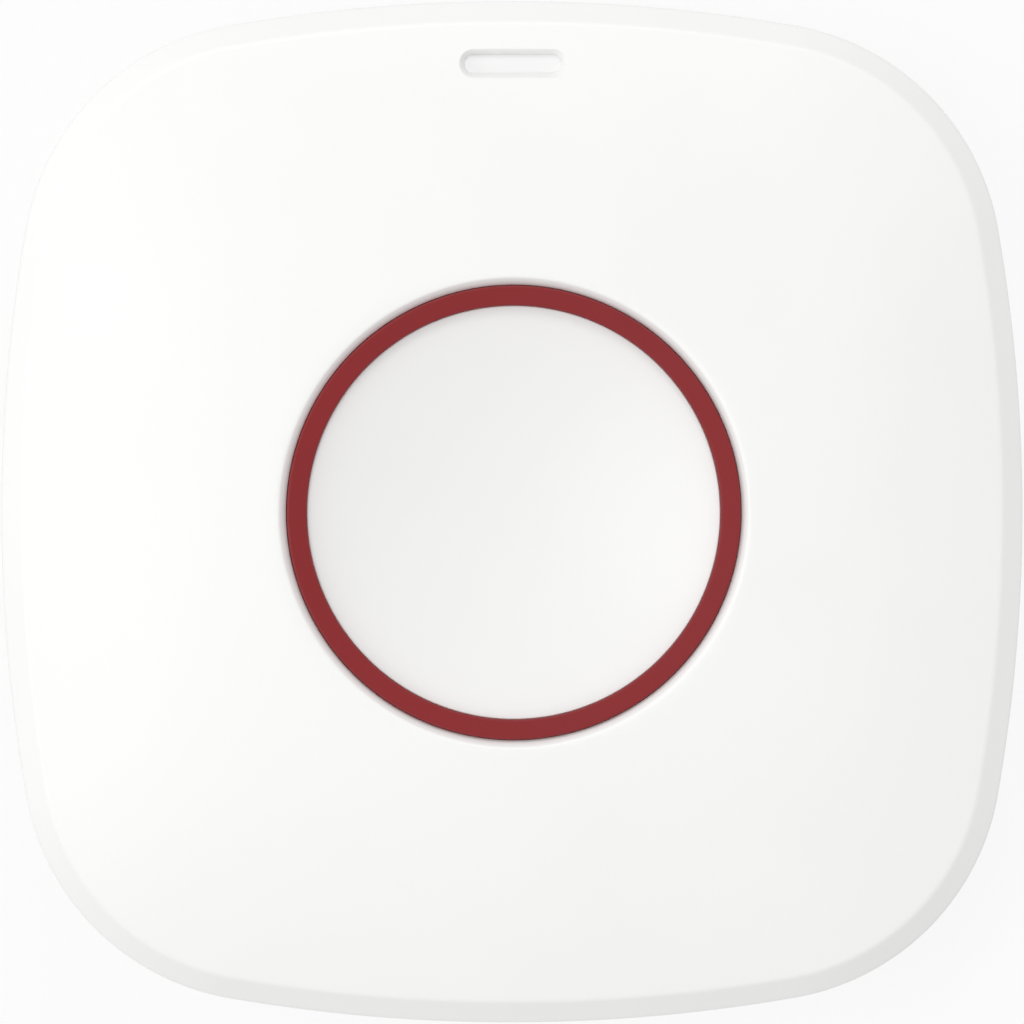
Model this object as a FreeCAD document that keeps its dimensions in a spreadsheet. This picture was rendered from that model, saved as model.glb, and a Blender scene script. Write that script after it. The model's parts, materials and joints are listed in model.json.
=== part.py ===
import FreeCAD, Part
import math
import os
import re
import Sketcher

# Wireless panic button, lying on its back. Millimetres. The origin is the middle of the rear face,
# +Z runs out of the push button and +Y runs from the button to the indicator window.

SIZES = {
    # Outline of the housing: four side arcs joined by four corner arcs
    "HousingWidth": 62.0,
    "SideArcRadius": 100.0,
    "CornerArcRadius": 15.1,
    # Front cover: straight skirt, bevelled band and domed face
    "PartingStep": 0.2,
    "SkirtHeight": 3.1,
    "BandWidth": 1.3,
    "BandHeight": 1.2,
    "DomeRise": 2.4,
    "DomeLean": 0.4,
    "DomeCurve": 2.4,
    "CoverWall": 1.6,
    "BoreEdge": 0.4,
    "CollarWall": 1.5,
    "CollarKeyWidth": 2.0,
    "CollarKeyHeight": 1.3,
    "CollarKeyDepth": 1.0,
    "CoverRibThickness": 0.9,
    "CoverRibDrop": 2.2,
    # Lip and seal between the two halves of the housing
    "LipWidth": 0.9,
    "LipHeight": 1.1,
    "LipClearance": 0.15,
    "SealThickness": 0.8,
    "SealClearance": 0.06,
    # Rear case
    "RearStep": 0.25,
    "RearTaper": 0.9,
    "RearEdgeRadius": 1.2,
    "RearFloor": 1.6,
    "RearRibHeight": 1.6,
    "RearRibThickness": 1.0,
    # Screws that close the housing
    "CaseScrewInset": 10.4,
    "CaseBossRadius": 3.0,
    "CaseScrewRadius": 1.1,
    "CaseScrewHeadRadius": 2.0,
    "CaseScrewHeadHeight": 1.4,
    "CaseScrewSeat": 3.0,
    "CaseScrewLength": 9.0,
    "CaseScrewPlay": 0.2,
    "CaseBossSplit": 0.6,
    "DriveArm": 1.1,
    "DriveWidth": 0.45,
    "DriveDepth": 0.8,
    "ThreadFit": 0.04,
    # Keyholes for hanging the unit on two wall screws
    "KeyholeInset": 8.5,
    "KeyholeEntryRadius": 3.6,
    "KeyholeSlotWidth": 3.8,
    "KeyholeTravel": 6.0,
    "KeyholeEntryDrop": 2.6,
    "KeyholeHeadRadius": 3.8,
    "KeyholeHeadRoom": 2.2,
    "KeyholeWall": 1.1,
    # Battery door, turned with a coin
    "DoorRecess": 0.1,
    "DoorFlangeReach": 1.9,
    "DoorFlangeThickness": 1.1,
    "DoorCupWall": 0.95,
    "DoorFloor": 2.0,
    "DoorClearance": 0.2,
    "DoorSealCord": 1.0,
    "DoorTurn": 45.0,
    "DoorLedge": 1.2,
    "LugCount": 3,
    "LugReach": 0.8,
    "LugWidth": 6.0,
    "LugHeight": 1.0,
    "LugPlay": 0.1,
    "WellWall": 1.6,
    "CoinSlotLength": 16.0,
    "CoinSlotWidth": 2.2,
    "CoinSlotDepth": 1.0,
    # Coin cell, its holder and contacts
    "CellRadius": 12.25,
    "CellThickness": 5.0,
    "CellCapRadius": 10.9,
    "CellCapHeight": 0.5,
    "CellEdge": 0.4,
    "CellPlay": 0.3,
    "CellGap": 0.1,
    "HolderWall": 1.4,
    "HolderFlangeWidth": 2.2,
    "HolderFlangeThickness": 0.8,
    "HolderGap": 6.0,
    "HolderDrop": 0.35,
    "ContactRoom": 1.2,
    "ContactThickness": 0.25,
    "ContactWidth": 4.0,
    "ContactFoot": 2.4,
    "SpringReach": 10.0,
    # Circuit board and what it carries
    "BoardThickness": 1.0,
    "BoardClearance": 0.3,
    "BoardNotch": 1.4,
    "BoardPostSpread": 6.6,
    "BoardPostInset": 7.4,
    "BoardPostRadius": 2.2,
    "BoardScrewRadius": 0.9,
    "BoardScrewHeadRadius": 1.7,
    "BoardScrewHeadHeight": 1.1,
    "BoardScrewLength": 5.0,
    "BoardHoleRadius": 1.1,
    "SwitchWidth": 6.0,
    "SwitchBaseHeight": 1.8,
    "SwitchFrameThickness": 0.2,
    "SwitchWellRadius": 2.3,
    "PlungerRadius": 1.6,
    "PlungerFlange": 0.4,
    "PlungerFlangeHeight": 0.35,
    "PlungerPlay": 0.1,
    "ShieldWidth": 11.0,
    "ShieldHeight": 1.8,
    "ShieldWall": 0.2,
    "ShieldInset": 10.5,
    "ShieldY": 4.0,
    "ShieldCorner": 0.6,
    "ChipWidth": 6.0,
    "ChipHeight": 0.9,
    "ChipInset": 9.5,
    "ChipY": -5.0,
    "ChipEdge": 0.15,
    "CrystalLength": 3.2,
    "CrystalWidth": 2.5,
    "CrystalHeight": 0.8,
    "CrystalInset": 9.5,
    "CrystalY": 3.5,
    "CrystalCorner": 0.4,
    "PassiveLength": 1.6,
    "PassiveWidth": 0.8,
    "PassiveHeight": 0.5,
    "PassivePitch": 2.0,
    "PassiveInset": 8.5,
    "PassiveY": 13.0,
    "AntennaLength": 20.0,
    "AntennaHeight": 2.4,
    "AntennaStrip": 0.8,
    "AntennaThickness": 0.4,
    "AntennaFeed": 4.0,
    "AntennaInset": 4.6,
    "LampLength": 1.6,
    "LampWidth": 1.0,
    "LampHeight": 0.5,
    "LampLens": 0.2,
    "LampLensInset": 0.15,
    # Indicator window in its slot
    "SlotInset": 3.9,
    "SlotLength": 6.55,
    "SlotWidth": 1.76,
    "SlotDepth": 1.3,
    "SlotBevel": 0.3,
    "SlotBevelDepth": 0.6,
    "WindowRecess": 0.62,
    "WindowClearance": 0.06,
    "WindowFlangeLength": 8.6,
    "WindowFlangeWidth": 2.4,
    "WindowFlangeHeight": 0.8,
    "WindowStemLength": 2.4,
    "WindowStemWidth": 1.0,
    "WindowLampGap": 0.3,
    # Push button: ring, dished cap and carrier
    "RingRadius": 13.82,
    "RingWidth": 1.29,
    "RingDrop": 0.15,
    "RingEdge": 0.18,
    "ButtonClearance": 0.15,
    "ButtonTravel": 0.5,
    "CapClearance": 0.06,
    "CapDrop": 0.55,
    "CapDish": 1.4,
    "CapEdge": 0.15,
    "CapPegCircle": 10.1,
    "CapPegRadius": 0.7,
    "PegFit": 0.05,
    "CarrierThickness": 0.8,
    "CarrierStep": 0.6,
    "CarrierFlangeReach": 1.1,
    "PusherRadius": 1.5,
    "PusherHeight": 0.2,
    "StopGap": 0.05,
    "KeyPlay": 0.3,
    # Silicone membrane that lifts the button
    "MembraneFootRadius": 11.3,
    "MembraneFootWidth": 2.2,
    "MembraneFootHeight": 0.5,
    "MembraneCrownRadius": 8.3,
    "MembraneCrownWidth": 1.9,
    "MembraneCrownHeight": 0.6,
    "MembraneWeb": 0.7,
}

LEVELS = {
    # Battery door and cell
    "CupRadius": "CellRadius + CellPlay",
    "DoorBossRadius": "CupRadius + DoorCupWall",
    "DoorFlangeRadius": "DoorBossRadius + DoorFlangeReach",
    "DoorFlangeTop": "DoorRecess + DoorFlangeThickness",
    "LedgeFoot": "DoorFlangeTop + DoorSealCord",
    "LedgeTop": "LedgeFoot + DoorLedge",
    "LugFoot": "LedgeTop + LugPlay",
    "LugTop": "LugFoot + LugHeight",
    "LugRadius": "DoorBossRadius + LugReach",
    "LugSweep": "sqrt(LugRadius ^ 2 + LugWidth ^ 2 / 4)",
    "WellRadius": "DoorFlangeRadius + DoorClearance + WellWall",
    "WellTop": "LugTop + DoorClearance",
    "CupFloor": "DoorRecess + DoorFloor",
    "CellFoot": "CupFloor + CellGap",
    "CellTop": "CellFoot + CellThickness",
    "KeyholeRoof": "RearFloor + KeyholeHeadRoom + KeyholeWall",
    # Circuit board
    "BoardFoot": "CellTop + ContactRoom",
    "BoardTop": "BoardFoot + BoardThickness",
    # Front cover, carried up by the stack inside
    "PartingHeight": "BoardTop + PartingStep",
    "BandFoot": "PartingHeight + SkirtHeight",
    "BandTop": "BandFoot + BandHeight",
    "RimHeight": "BandTop + DomeRise",
    "Ceiling": "BandTop - CoverWall",
    "InnerInset": "CoverWall + LipClearance + LipWidth",
    "CaseScrewOffset": "HousingWidth / 2 - CaseScrewInset",
    "BoardPostX": "CaseScrewOffset - BoardPostSpread",
    "BoardPostY": "HousingWidth / 2 - BoardPostInset",
    "KeyholeX": "HousingWidth / 2 - KeyholeInset",
    "SlotCentre": "HousingWidth / 2 - SlotInset",
    "ShieldX": "ShieldInset - HousingWidth / 2",
    "ChipX": "HousingWidth / 2 - ChipInset",
    "CrystalX": "HousingWidth / 2 - CrystalInset",
    "PassiveX": "HousingWidth / 2 - PassiveInset",
    "AntennaY": "AntennaInset - HousingWidth / 2",
    "SealFoot": "PartingHeight + LipHeight",
    "SealTop": "SealFoot + SealThickness",
    "BoreRadius": "RingRadius + ButtonClearance",
    "CollarRadius": "BoreRadius + CollarWall",
    "DomeHalf": "HousingWidth / 2 - BandWidth",
    "DomeInner": "BoreRadius - 2 * BoreEdge",
    "SlotReach": "(SlotCentre - DomeInner) / (DomeHalf - DomeInner)",
    "SlotFall": "DomeLean * SlotReach + (1 - DomeLean) * SlotReach ^ DomeCurve",
    "SlotSurface": "RimHeight - DomeRise * SlotFall",
    "SlotSlope": "DomeLean + (1 - DomeLean) * DomeCurve * SlotReach ^ (DomeCurve - 1)",
    "SlotLean": "atan(DomeRise * SlotSlope / (DomeHalf - DomeInner))",
    "ShaftLength": "SlotLength - 2 * SlotBevel",
    "ShaftWidth": "SlotWidth - 2 * SlotBevel",
    "WindowTilt": "(ShaftWidth / 2 - WindowClearance) * tan(SlotLean)",
    "WindowSeat": "SlotSurface - SlotDepth",
    # Switch and push button
    "SwitchBaseTop": "BoardTop + SwitchBaseHeight",
    "SwitchTop": "SwitchBaseTop + SwitchFrameThickness",
    "SwitchWell": "ButtonTravel + PlungerFlangeHeight + 2 * PlungerPlay",
    "PlungerTop": "SwitchTop + ButtonTravel + PlungerPlay",
    "CarrierFoot": "PlungerTop + PusherHeight",
    "CarrierTop": "CarrierFoot + CarrierThickness",
    "CapSeat": "CarrierTop + CarrierStep",
    "CollarFoot": "CarrierTop + StopGap",
    "RingTop": "RimHeight - RingDrop",
    "RingInner": "RingRadius - RingWidth",
    "CapRadius": "RingInner - CapClearance",
    "CapTop": "RingTop - CapDrop",
    "DishFoot": "CapTop - CapDish",
    "DishRadius": "((CapRadius - CapEdge) ^ 2 + CapDish ^ 2) / (2 * CapDish)",
    "CaseSplit": "PartingHeight - CaseBossSplit",
    "CaseScrewTip": "CaseScrewSeat + CaseScrewLength",
}

# Sections of the smooth dome, and bands of the rear case's rounded foot and of the cap's dish
DOME_SECTION_COUNT = 4
FOOT_BAND_COUNT = 3
DISH_BAND_COUNT = 4

document = FreeCAD.newDocument("panic_button")
sheet = document.addObject("Spreadsheet::Sheet", "Sizes")


def fill_sheet():
    """Writes each size and each derived level into its own named cell."""
    row = 0
    for alias, size in SIZES.items():
        row += 1
        sheet.set(f"A{row}", alias)
        sheet.set(f"B{row}", str(size))
        sheet.setAlias(f"B{row}", alias)
    for alias, formula in LEVELS.items():
        row += 1
        sheet.set(f"A{row}", alias)
        sheet.set(f"B{row}", "=" + formula)
        sheet.setAlias(f"B{row}", alias)
    document.recompute()


def bound(text):
    """Turns the names in a formula into references to the sheet."""
    return re.sub(r"\b([A-Z][A-Za-z]+)\b", r"Sizes.\1", str(text))


def number(text):
    """Value of a formula at the sheet's present sizes."""
    found = sheet.evalExpression(bound(text))
    return float(getattr(found, "Value", found))


def origin_feature(body, role):
    """Base plane or axis of a body."""
    return next(feature for feature in body.Origin.OriginFeatures if feature.Role == role)


def new_body(label):
    """Empty body whose label is the node's name."""
    body = document.addObject("PartDesign::Body", label)
    body.Label = label
    return body


def new_sketch(body, name, level="0", role="XY_Plane", turn=None, tilt=None):
    """Sketch at a height over a base plane; turn is about its normal, tilt about its own Y."""
    sketch = body.newObject("Sketcher::SketchObject", f"{body.Label}_{name}")
    sketch.AttachmentSupport = [(origin_feature(body, role), "")]
    sketch.MapMode = "FlatFace"
    sketch.setExpression("AttachmentOffset.Base.z", bound(level))
    if turn is not None:
        sketch.AttachmentOffset.Rotation = FreeCAD.Rotation(FreeCAD.Vector(0, 0, 1), number(turn))
        sketch.setExpression("AttachmentOffset.Rotation.Angle", bound(turn))
    if tilt is not None:
        spin = FreeCAD.Rotation(FreeCAD.Vector(0, 1, 0), tilt)
        sketch.AttachmentOffset = FreeCAD.Placement(FreeCAD.Vector(0, 0, 0), spin)
    return sketch


def lean_sketch(sketch, forward, lean):
    """Moves a level sketch along Y and tips it down that way by an angle."""
    tip = FreeCAD.Rotation(FreeCAD.Vector(-1, 0, 0), number(lean))
    sketch.AttachmentOffset = FreeCAD.Placement(sketch.AttachmentOffset.Base, tip)
    sketch.setExpression("AttachmentOffset.Base.y", bound(forward))
    sketch.setExpression("AttachmentOffset.Rotation.Angle", bound(lean))


def bind(sketch, formula, *rule):
    """Adds a constraint with a size and ties the size to the sheet."""
    index = sketch.addConstraint(Sketcher.Constraint(*rule, number(formula)))
    sketch.setExpression(f"Constraints[{index}]", bound(formula))


def hold_point(sketch, shape, point, x, y):
    """Places one point of a sketch by its two distances from the origin."""
    bind(sketch, x, "DistanceX", -1, 1, shape, point)
    bind(sketch, y, "DistanceY", -1, 1, shape, point)


def circle(sketch, x, y, radius):
    """Circle by centre and radius."""
    centre = FreeCAD.Vector(number(x), number(y), 0)
    shape = sketch.addGeometry(Part.Circle(centre, FreeCAD.Vector(0, 0, 1), number(radius)))
    hold_point(sketch, shape, 3, x, y)
    bind(sketch, radius, "Radius", shape)


def profile(sketch, corners):
    """Closed outline of straight edges through corners."""
    points = [FreeCAD.Vector(number(x), number(y), 0) for x, y in corners]
    count = len(points)
    edges = [sketch.addGeometry(Part.LineSegment(point, points[(index + 1) % count]))
             for index, point in enumerate(points)]
    for index, edge in enumerate(edges):
        sketch.addConstraint(Sketcher.Constraint("Coincident", edge, 2, edges[(index + 1) % count], 1))
        hold_point(sketch, edge, 1, *corners[index])


def edge_ends(sketch, shape, start, end):
    """Point numbers of an edge's two ends, in the order that the outline runs."""
    forward = sketch.getPoint(shape, 1).distanceToPoint(start)
    backward = sketch.getPoint(shape, 1).distanceToPoint(end)
    return (1, 2) if forward <= backward else (2, 1)


def rectangle(sketch, x, y, length, width):
    """Rectangle by its centre and its two sides."""
    left, right = f"{x} - ({length}) / 2", f"{x} + ({length}) / 2"
    low, high = f"{y} - ({width}) / 2", f"{y} + ({width}) / 2"
    profile(sketch, [(left, low), (right, low), (right, high), (left, high)])


def stadium(sketch, x, y, length, width, upright=False):
    """Slot outline with round ends, by its centre, full length and width."""
    reach = f"(({length}) - ({width})) / 2"
    half = f"({width}) / 2"
    if upright:
        corners = [(f"{x} + {half}", f"{y} - {reach}"), (f"{x} + {half}", f"{y} + {reach}"),
                   (f"{x} - {half}", f"{y} + {reach}"), (f"{x} - {half}", f"{y} - {reach}")]
    else:
        corners = [(f"{x} - {reach}", f"{y} - {half}"), (f"{x} + {reach}", f"{y} - {half}"),
                   (f"{x} + {reach}", f"{y} + {half}"), (f"{x} - {reach}", f"{y} + {half}")]
    points = [FreeCAD.Vector(number(px), number(py), 0) for px, py in corners]
    bow = (points[1] - points[0]).normalize() * number(half)
    edges = [Part.LineSegment(points[0], points[1]),
             Part.Arc(points[1], (points[1] + points[2]) * 0.5 + bow, points[2]),
             Part.LineSegment(points[2], points[3]),
             Part.Arc(points[3], (points[3] + points[0]) * 0.5 - bow, points[0])]
    first = [sketch.addGeometry(edge) for edge in edges][0]
    for index in range(4):
        follow = first + (index + 1) % 4
        sketch.addConstraint(Sketcher.Constraint("Tangent", first + index, 2, follow, 1))
    hold_point(sketch, first, 1, *corners[0])
    hold_point(sketch, first + 2, 1, *corners[2])


def arc_outline(sketch, half, side, corner):
    """Housing outline: four side arcs and four corner arcs, all tangent."""
    side_size, corner_size = number(side), number(corner)
    away = side_size - number(half)
    spread = side_size - corner_size
    across = (math.sqrt(2 * spread ** 2 - away ** 2) - away) / 2
    join = math.atan2(across, across + away)
    up = FreeCAD.Vector(0, 0, 1)
    arcs = []
    for quarter in range(4):
        turn = quarter * math.pi / 2
        spin = FreeCAD.Rotation(up, math.degrees(turn))
        far = spin.multVec(FreeCAD.Vector(-away, 0, 0))
        near = spin.multVec(FreeCAD.Vector(across, across, 0))
        arcs.append(Part.ArcOfCircle(Part.Circle(far, up, side_size), turn - join, turn + join))
        end = turn + math.pi / 2 - join
        arcs.append(Part.ArcOfCircle(Part.Circle(near, up, corner_size), turn + join, end))
    sketch.addGeometry(arcs, False)
    rules = [Sketcher.Constraint("Tangent", index, 2, (index + 1) % 8, 1) for index in range(8)]
    rules += [Sketcher.Constraint("Equal", 0, index) for index in (2, 4, 6)]
    rules += [Sketcher.Constraint("Equal", 1, index) for index in (3, 5, 7)]
    rules += [Sketcher.Constraint("PointOnObject", index, 3, -1) for index in (0, 4)]
    rules += [Sketcher.Constraint("PointOnObject", index, 3, -2) for index in (2, 6)]
    sketch.addConstraint(rules)
    bind(sketch, side, "Radius", 0)
    bind(sketch, corner, "Radius", 1)
    reach = f"({side}) - ({half})"
    bind(sketch, reach, "DistanceX", 0, 3, -1, 1)
    bind(sketch, reach, "DistanceX", -1, 1, 4, 3)
    bind(sketch, reach, "DistanceY", 2, 3, -1, 1)
    bind(sketch, reach, "DistanceY", -1, 1, 6, 3)


def housing_outline(body, name, inset, level):
    """Sketch of the housing outline set in by a distance, at a height."""
    sketch = new_sketch(body, name, level)
    arc_outline(sketch, f"HousingWidth / 2 - ({inset})", f"SideArcRadius - ({inset})",
                f"CornerArcRadius - ({inset})")
    return sketch


def pad(body, sketch, length, down=False, both=False):
    """Adds the sketch's area along its normal."""
    feature = body.newObject("PartDesign::Pad", f"{sketch.Name}_pad")
    feature.Profile = sketch
    feature.setExpression("Length", bound(length))
    feature.Reversed = down
    feature.Midplane = both
    return feature


def pocket(body, sketch, length, up=False):
    """Cuts the sketch's area away, downwards unless up is set."""
    feature = body.newObject("PartDesign::Pocket", f"{sketch.Name}_cut")
    feature.Profile = sketch
    feature.setExpression("Length", bound(length))
    feature.Reversed = up
    return feature


def revolve(body, sketch, cut=False):
    """Turns the sketch a full circle about its upright axis, or cuts that solid away."""
    kind = "PartDesign::Groove" if cut else "PartDesign::Revolution"
    feature = body.newObject(kind, f"{sketch.Name}_turn")
    feature.Profile = sketch
    feature.ReferenceAxis = (sketch, ["V_Axis"])
    feature.Angle = 360
    return feature


def loft(body, sketches, ruled=False):
    """Joins sections into one solid."""
    feature = body.newObject("PartDesign::AdditiveLoft", f"{sketches[0].Name}_loft")
    feature.Profile = sketches[0]
    feature.Sections = [(sketch, [""]) for sketch in sketches[1:]]
    feature.Ruled = ruled
    return feature


def polar(body, features, count):
    """Repeats features about the vertical axis."""
    feature = body.newObject("PartDesign::PolarPattern", f"{features[0].Name}_ring")
    feature.Originals = features
    feature.Axis = (origin_feature(body, "Z_Axis"), [""])
    feature.Angle = 360
    feature.setExpression("Occurrences", bound(count))
    body.Tip = feature
    return feature


def edges_at(shape, level, inner, outer):
    """Names of edges that lie at one height between two distances from the axis."""
    names = []
    for index, edge in enumerate(shape.Edges, 1):
        spots = [edge.valueAt(edge.FirstParameter + (edge.LastParameter - edge.FirstParameter) * part)
                 for part in (0.0, 0.5, 1.0)]
        flat = all(abs(spot.z - number(level)) < 0.02 for spot in spots)
        reach = [math.hypot(spot.x, spot.y) for spot in spots]
        if flat and min(reach) > number(inner) and max(reach) < number(outer):
            names.append(f"Edge{index}")
    return names


def bevel_edges(body, feature, level, inner, outer, size):
    """Bevels the edges of a feature that lie at one height."""
    document.recompute()
    bevel = body.newObject("PartDesign::Chamfer", f"{feature.Name}_bevel")
    bevel.Base = (feature, edges_at(feature.Shape, level, inner, outer))
    bevel.setExpression("Size", bound(size))


def corners_of(x, y):
    """The four mirrored positions of a point."""
    return [(x, y), (f"-({x})", y), (f"-({x})", f"-({y})"), (x, f"-({y})")]


def four_circles(body, name, level, x, y, radius):
    """Sketch of one circle at each of four mirrored positions."""
    sketch = new_sketch(body, name, level)
    for spot_x, spot_y in corners_of(x, y):
        circle(sketch, spot_x, spot_y, radius)
    return sketch


def dome_sections(body):
    """Outlines that climb from the band to the bore, flatter towards the middle."""
    sketches = []
    for step in range(DOME_SECTION_COUNT):
        share = step / (DOME_SECTION_COUNT - 1)
        rest = 1 - share
        half = f"(HousingWidth / 2 - BandWidth) * {rest} + DomeInner * {share}"
        side = f"(SideArcRadius - BandWidth) * {rest} + (DomeInner + 1.4 * DomeLean) * {share}"
        corner = f"(CornerArcRadius - BandWidth) * {rest} + (DomeInner - DomeLean) * {share}"
        fall = f"(DomeLean * {rest} + (1 - DomeLean) * {rest} ^ DomeCurve)"
        sketch = new_sketch(body, f"dome{step}", f"RimHeight - DomeRise * {fall}")
        arc_outline(sketch, half, side, corner)
        sketches.append(sketch)
    return sketches


def make_front_cover():
    """Domed front half with bevelled bore and slot, collar, keys, screw bosses and ribs."""
    body = new_body("front_cover")
    pad(body, housing_outline(body, "skirt", "0", "PartingHeight"), "SkirtHeight")
    band = [housing_outline(body, "band_foot", "0", "BandFoot"),
            housing_outline(body, "band_top", "BandWidth", "BandTop")]
    loft(body, band, ruled=True)
    loft(body, dome_sections(body))
    pocket(body, housing_outline(body, "rebate", "CoverWall", "PartingHeight"),
           "SealTop - PartingHeight", up=True)
    pocket(body, housing_outline(body, "cavity", "InnerInset", "SealTop"),
           "Ceiling - SealTop", up=True)
    roof = new_sketch(body, "roof", role="XZ_Plane")
    profile(roof, [("0", "SealTop"), ("HousingWidth / 2 - InnerInset", "SealTop"),
                   ("HousingWidth / 2 - InnerInset", "Ceiling"), ("CollarRadius", "RimHeight - CoverWall"),
                   ("0", "RimHeight - CoverWall")])
    revolve(body, roof, cut=True)
    bosses = four_circles(body, "bosses", "CaseSplit", "CaseScrewOffset", "CaseScrewOffset",
                          "CaseBossRadius")
    pad(body, bosses, "BandTop - CaseSplit")
    collar = new_sketch(body, "collar", "CollarFoot")
    circle(collar, "0", "0", "CollarRadius")
    pad(body, collar, "RimHeight - CoverWall / 2 - CollarFoot")
    rib = new_sketch(body, "rib", role="XZ_Plane", tilt=45)
    low = "BandTop - CoverRibDrop"
    profile(rib, [("CollarRadius + KeyPlay", low), ("CaseScrewOffset * sqrt(2)", low),
                  ("CaseScrewOffset * sqrt(2)", "BandTop"),
                  ("CollarRadius - CollarWall / 2", "RimHeight - CoverWall / 2"),
                  ("CollarRadius - CollarWall / 2", "CollarFoot + StopGap"),
                  ("CollarRadius + KeyPlay", "CollarFoot + StopGap")])
    polar(body, [pad(body, rib, "CoverRibThickness", both=True)], "4")
    key = new_sketch(body, "key", "CollarFoot - CollarKeyHeight")
    rectangle(key, "CollarRadius - CollarKeyDepth / 2", "0", "CollarKeyDepth", "CollarKeyWidth")
    polar(body, [pad(body, key, "CollarKeyHeight + CollarWall / 2")], "3")
    bore = new_sketch(body, "bore", "CollarFoot")
    circle(bore, "0", "0", "BoreRadius")
    pocket(body, bore, "RimHeight - CollarFoot + DomeRise", up=True)
    holes = four_circles(body, "holes", "CaseSplit", "CaseScrewOffset", "CaseScrewOffset",
                         "CaseScrewRadius + ThreadFit")
    pocket(body, holes, "CaseScrewTip + DriveDepth - CaseSplit", up=True)
    seat = new_sketch(body, "window_seat", "WindowSeat")
    rectangle(seat, "0", "SlotCentre - (WindowFlangeWidth - SlotWidth) / 2", "WindowFlangeLength",
              "WindowFlangeWidth")
    pocket(body, seat, "WindowSeat - SealTop")
    slot = new_sketch(body, "slot", "WindowSeat")
    stadium(slot, "0", "SlotCentre", "ShaftLength", "ShaftWidth")
    pocket(body, slot, "RimHeight - WindowSeat", up=True)
    slope = new_sketch(body, "slot_slope", "SlotSurface - SlotBevelDepth")
    lean_sketch(slope, "SlotCentre", "SlotLean")
    stadium(slope, "0", "0", "ShaftLength", "ShaftWidth")
    wall = pocket(body, slope, "2 * SlotBevelDepth", up=True)
    wall.setExpression("TaperAngle", bound("atan(SlotBevel / SlotBevelDepth)"))
    bevel = new_sketch(body, "bore_bevel", role="XZ_Plane")
    profile(bevel, [("0", "RimHeight - BoreEdge"), ("BoreRadius", "RimHeight - BoreEdge"),
                    ("BoreRadius + 2 * BoreEdge", "RimHeight + BoreEdge"), ("0", "RimHeight + BoreEdge")])
    revolve(body, bevel, cut=True)
    return body


def make_rear_case():
    """Rear half: tapered tub with lip, battery well, screw bosses, board posts and keyholes."""
    body = new_body("rear_case")
    bands = []
    for band in range(FOOT_BAND_COUNT + 1):
        angle = math.pi / 2 * band / FOOT_BAND_COUNT
        inset = f"RearStep + RearTaper + RearEdgeRadius * {1 - math.sin(angle)}"
        bands.append(housing_outline(body, f"foot{band}", inset, f"RearEdgeRadius * {1 - math.cos(angle)}"))
    bands.append(housing_outline(body, "top", "RearStep", "PartingHeight"))
    loft(body, bands, ruled=True)
    pad(body, housing_outline(body, "lip", "CoverWall + LipClearance", "PartingHeight"), "LipHeight")
    pocket(body, housing_outline(body, "tub", "InnerInset", "SealFoot"), "SealFoot - RearFloor")
    well = new_sketch(body, "well")
    circle(well, "0", "0", "WellRadius")
    pad(body, well, "WellTop")
    bosses = four_circles(body, "bosses", "RearFloor / 2", "CaseScrewOffset", "CaseScrewOffset",
                          "CaseBossRadius")
    pad(body, bosses, "CaseSplit - RearFloor / 2")
    posts = four_circles(body, "posts", "RearFloor / 2", "BoardPostX", "BoardPostY", "BoardPostRadius")
    pad(body, posts, "BoardFoot - RearFloor / 2")
    blocks = new_sketch(body, "blocks", "RearFloor / 2")
    for side in ("KeyholeX", "-KeyholeX"):
        stadium(blocks, side, "KeyholeTravel / 2 - KeyholeEntryDrop",
                "KeyholeTravel + 2 * (KeyholeHeadRadius + KeyholeWall)",
                "2 * (KeyholeHeadRadius + KeyholeWall)", upright=True)
    pad(body, blocks, "KeyholeRoof - RearFloor / 2")
    rib = new_sketch(body, "rib", role="XZ_Plane", tilt=45)
    profile(rib, [("WellRadius - WellWall / 2", "RearFloor / 2"),
                  ("CaseScrewOffset * sqrt(2)", "RearFloor / 2"),
                  ("CaseScrewOffset * sqrt(2)", "RearFloor + RearRibHeight"),
                  ("WellRadius - WellWall / 2", "RearFloor + RearRibHeight")])
    polar(body, [pad(body, rib, "RearRibThickness", both=True)], "4")
    cut_door_seat(body)
    cut_keyholes(body)
    seats = four_circles(body, "screw_seats", "0", "CaseScrewOffset", "CaseScrewOffset",
                         "CaseScrewHeadRadius + CaseScrewPlay")
    pocket(body, seats, "CaseScrewSeat", up=True)
    holes = four_circles(body, "screw_holes", "0", "CaseScrewOffset", "CaseScrewOffset",
                         "CaseScrewRadius + CaseScrewPlay")
    pocket(body, holes, "PartingHeight", up=True)
    pilots = four_circles(body, "pilots", "BoardFoot", "BoardPostX", "BoardPostY",
                          "BoardScrewRadius + ThreadFit")
    pocket(body, pilots, "BoardScrewLength")
    return body


def cut_door_seat(body):
    """Counterbore, ledge, turning room and entry notches for the battery door."""
    sink = new_sketch(body, "door_sink")
    circle(sink, "0", "0", "DoorFlangeRadius + DoorClearance")
    pocket(body, sink, "LedgeFoot", up=True)
    hole = new_sketch(body, "door_hole")
    circle(hole, "0", "0", "DoorBossRadius + DoorClearance")
    pocket(body, hole, "WellTop", up=True)
    room = new_sketch(body, "lug_room", "WellTop")
    circle(room, "0", "0", "LugSweep + DoorClearance")
    pocket(body, room, "WellTop - LedgeTop")
    notch = new_sketch(body, "lug_notch", turn="DoorTurn")
    rectangle(notch, "LugRadius / 2 + DoorClearance", "0", "LugRadius", "LugWidth + 4 * DoorClearance")
    polar(body, [pocket(body, notch, "LedgeTop", up=True)], "LugCount")


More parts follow.
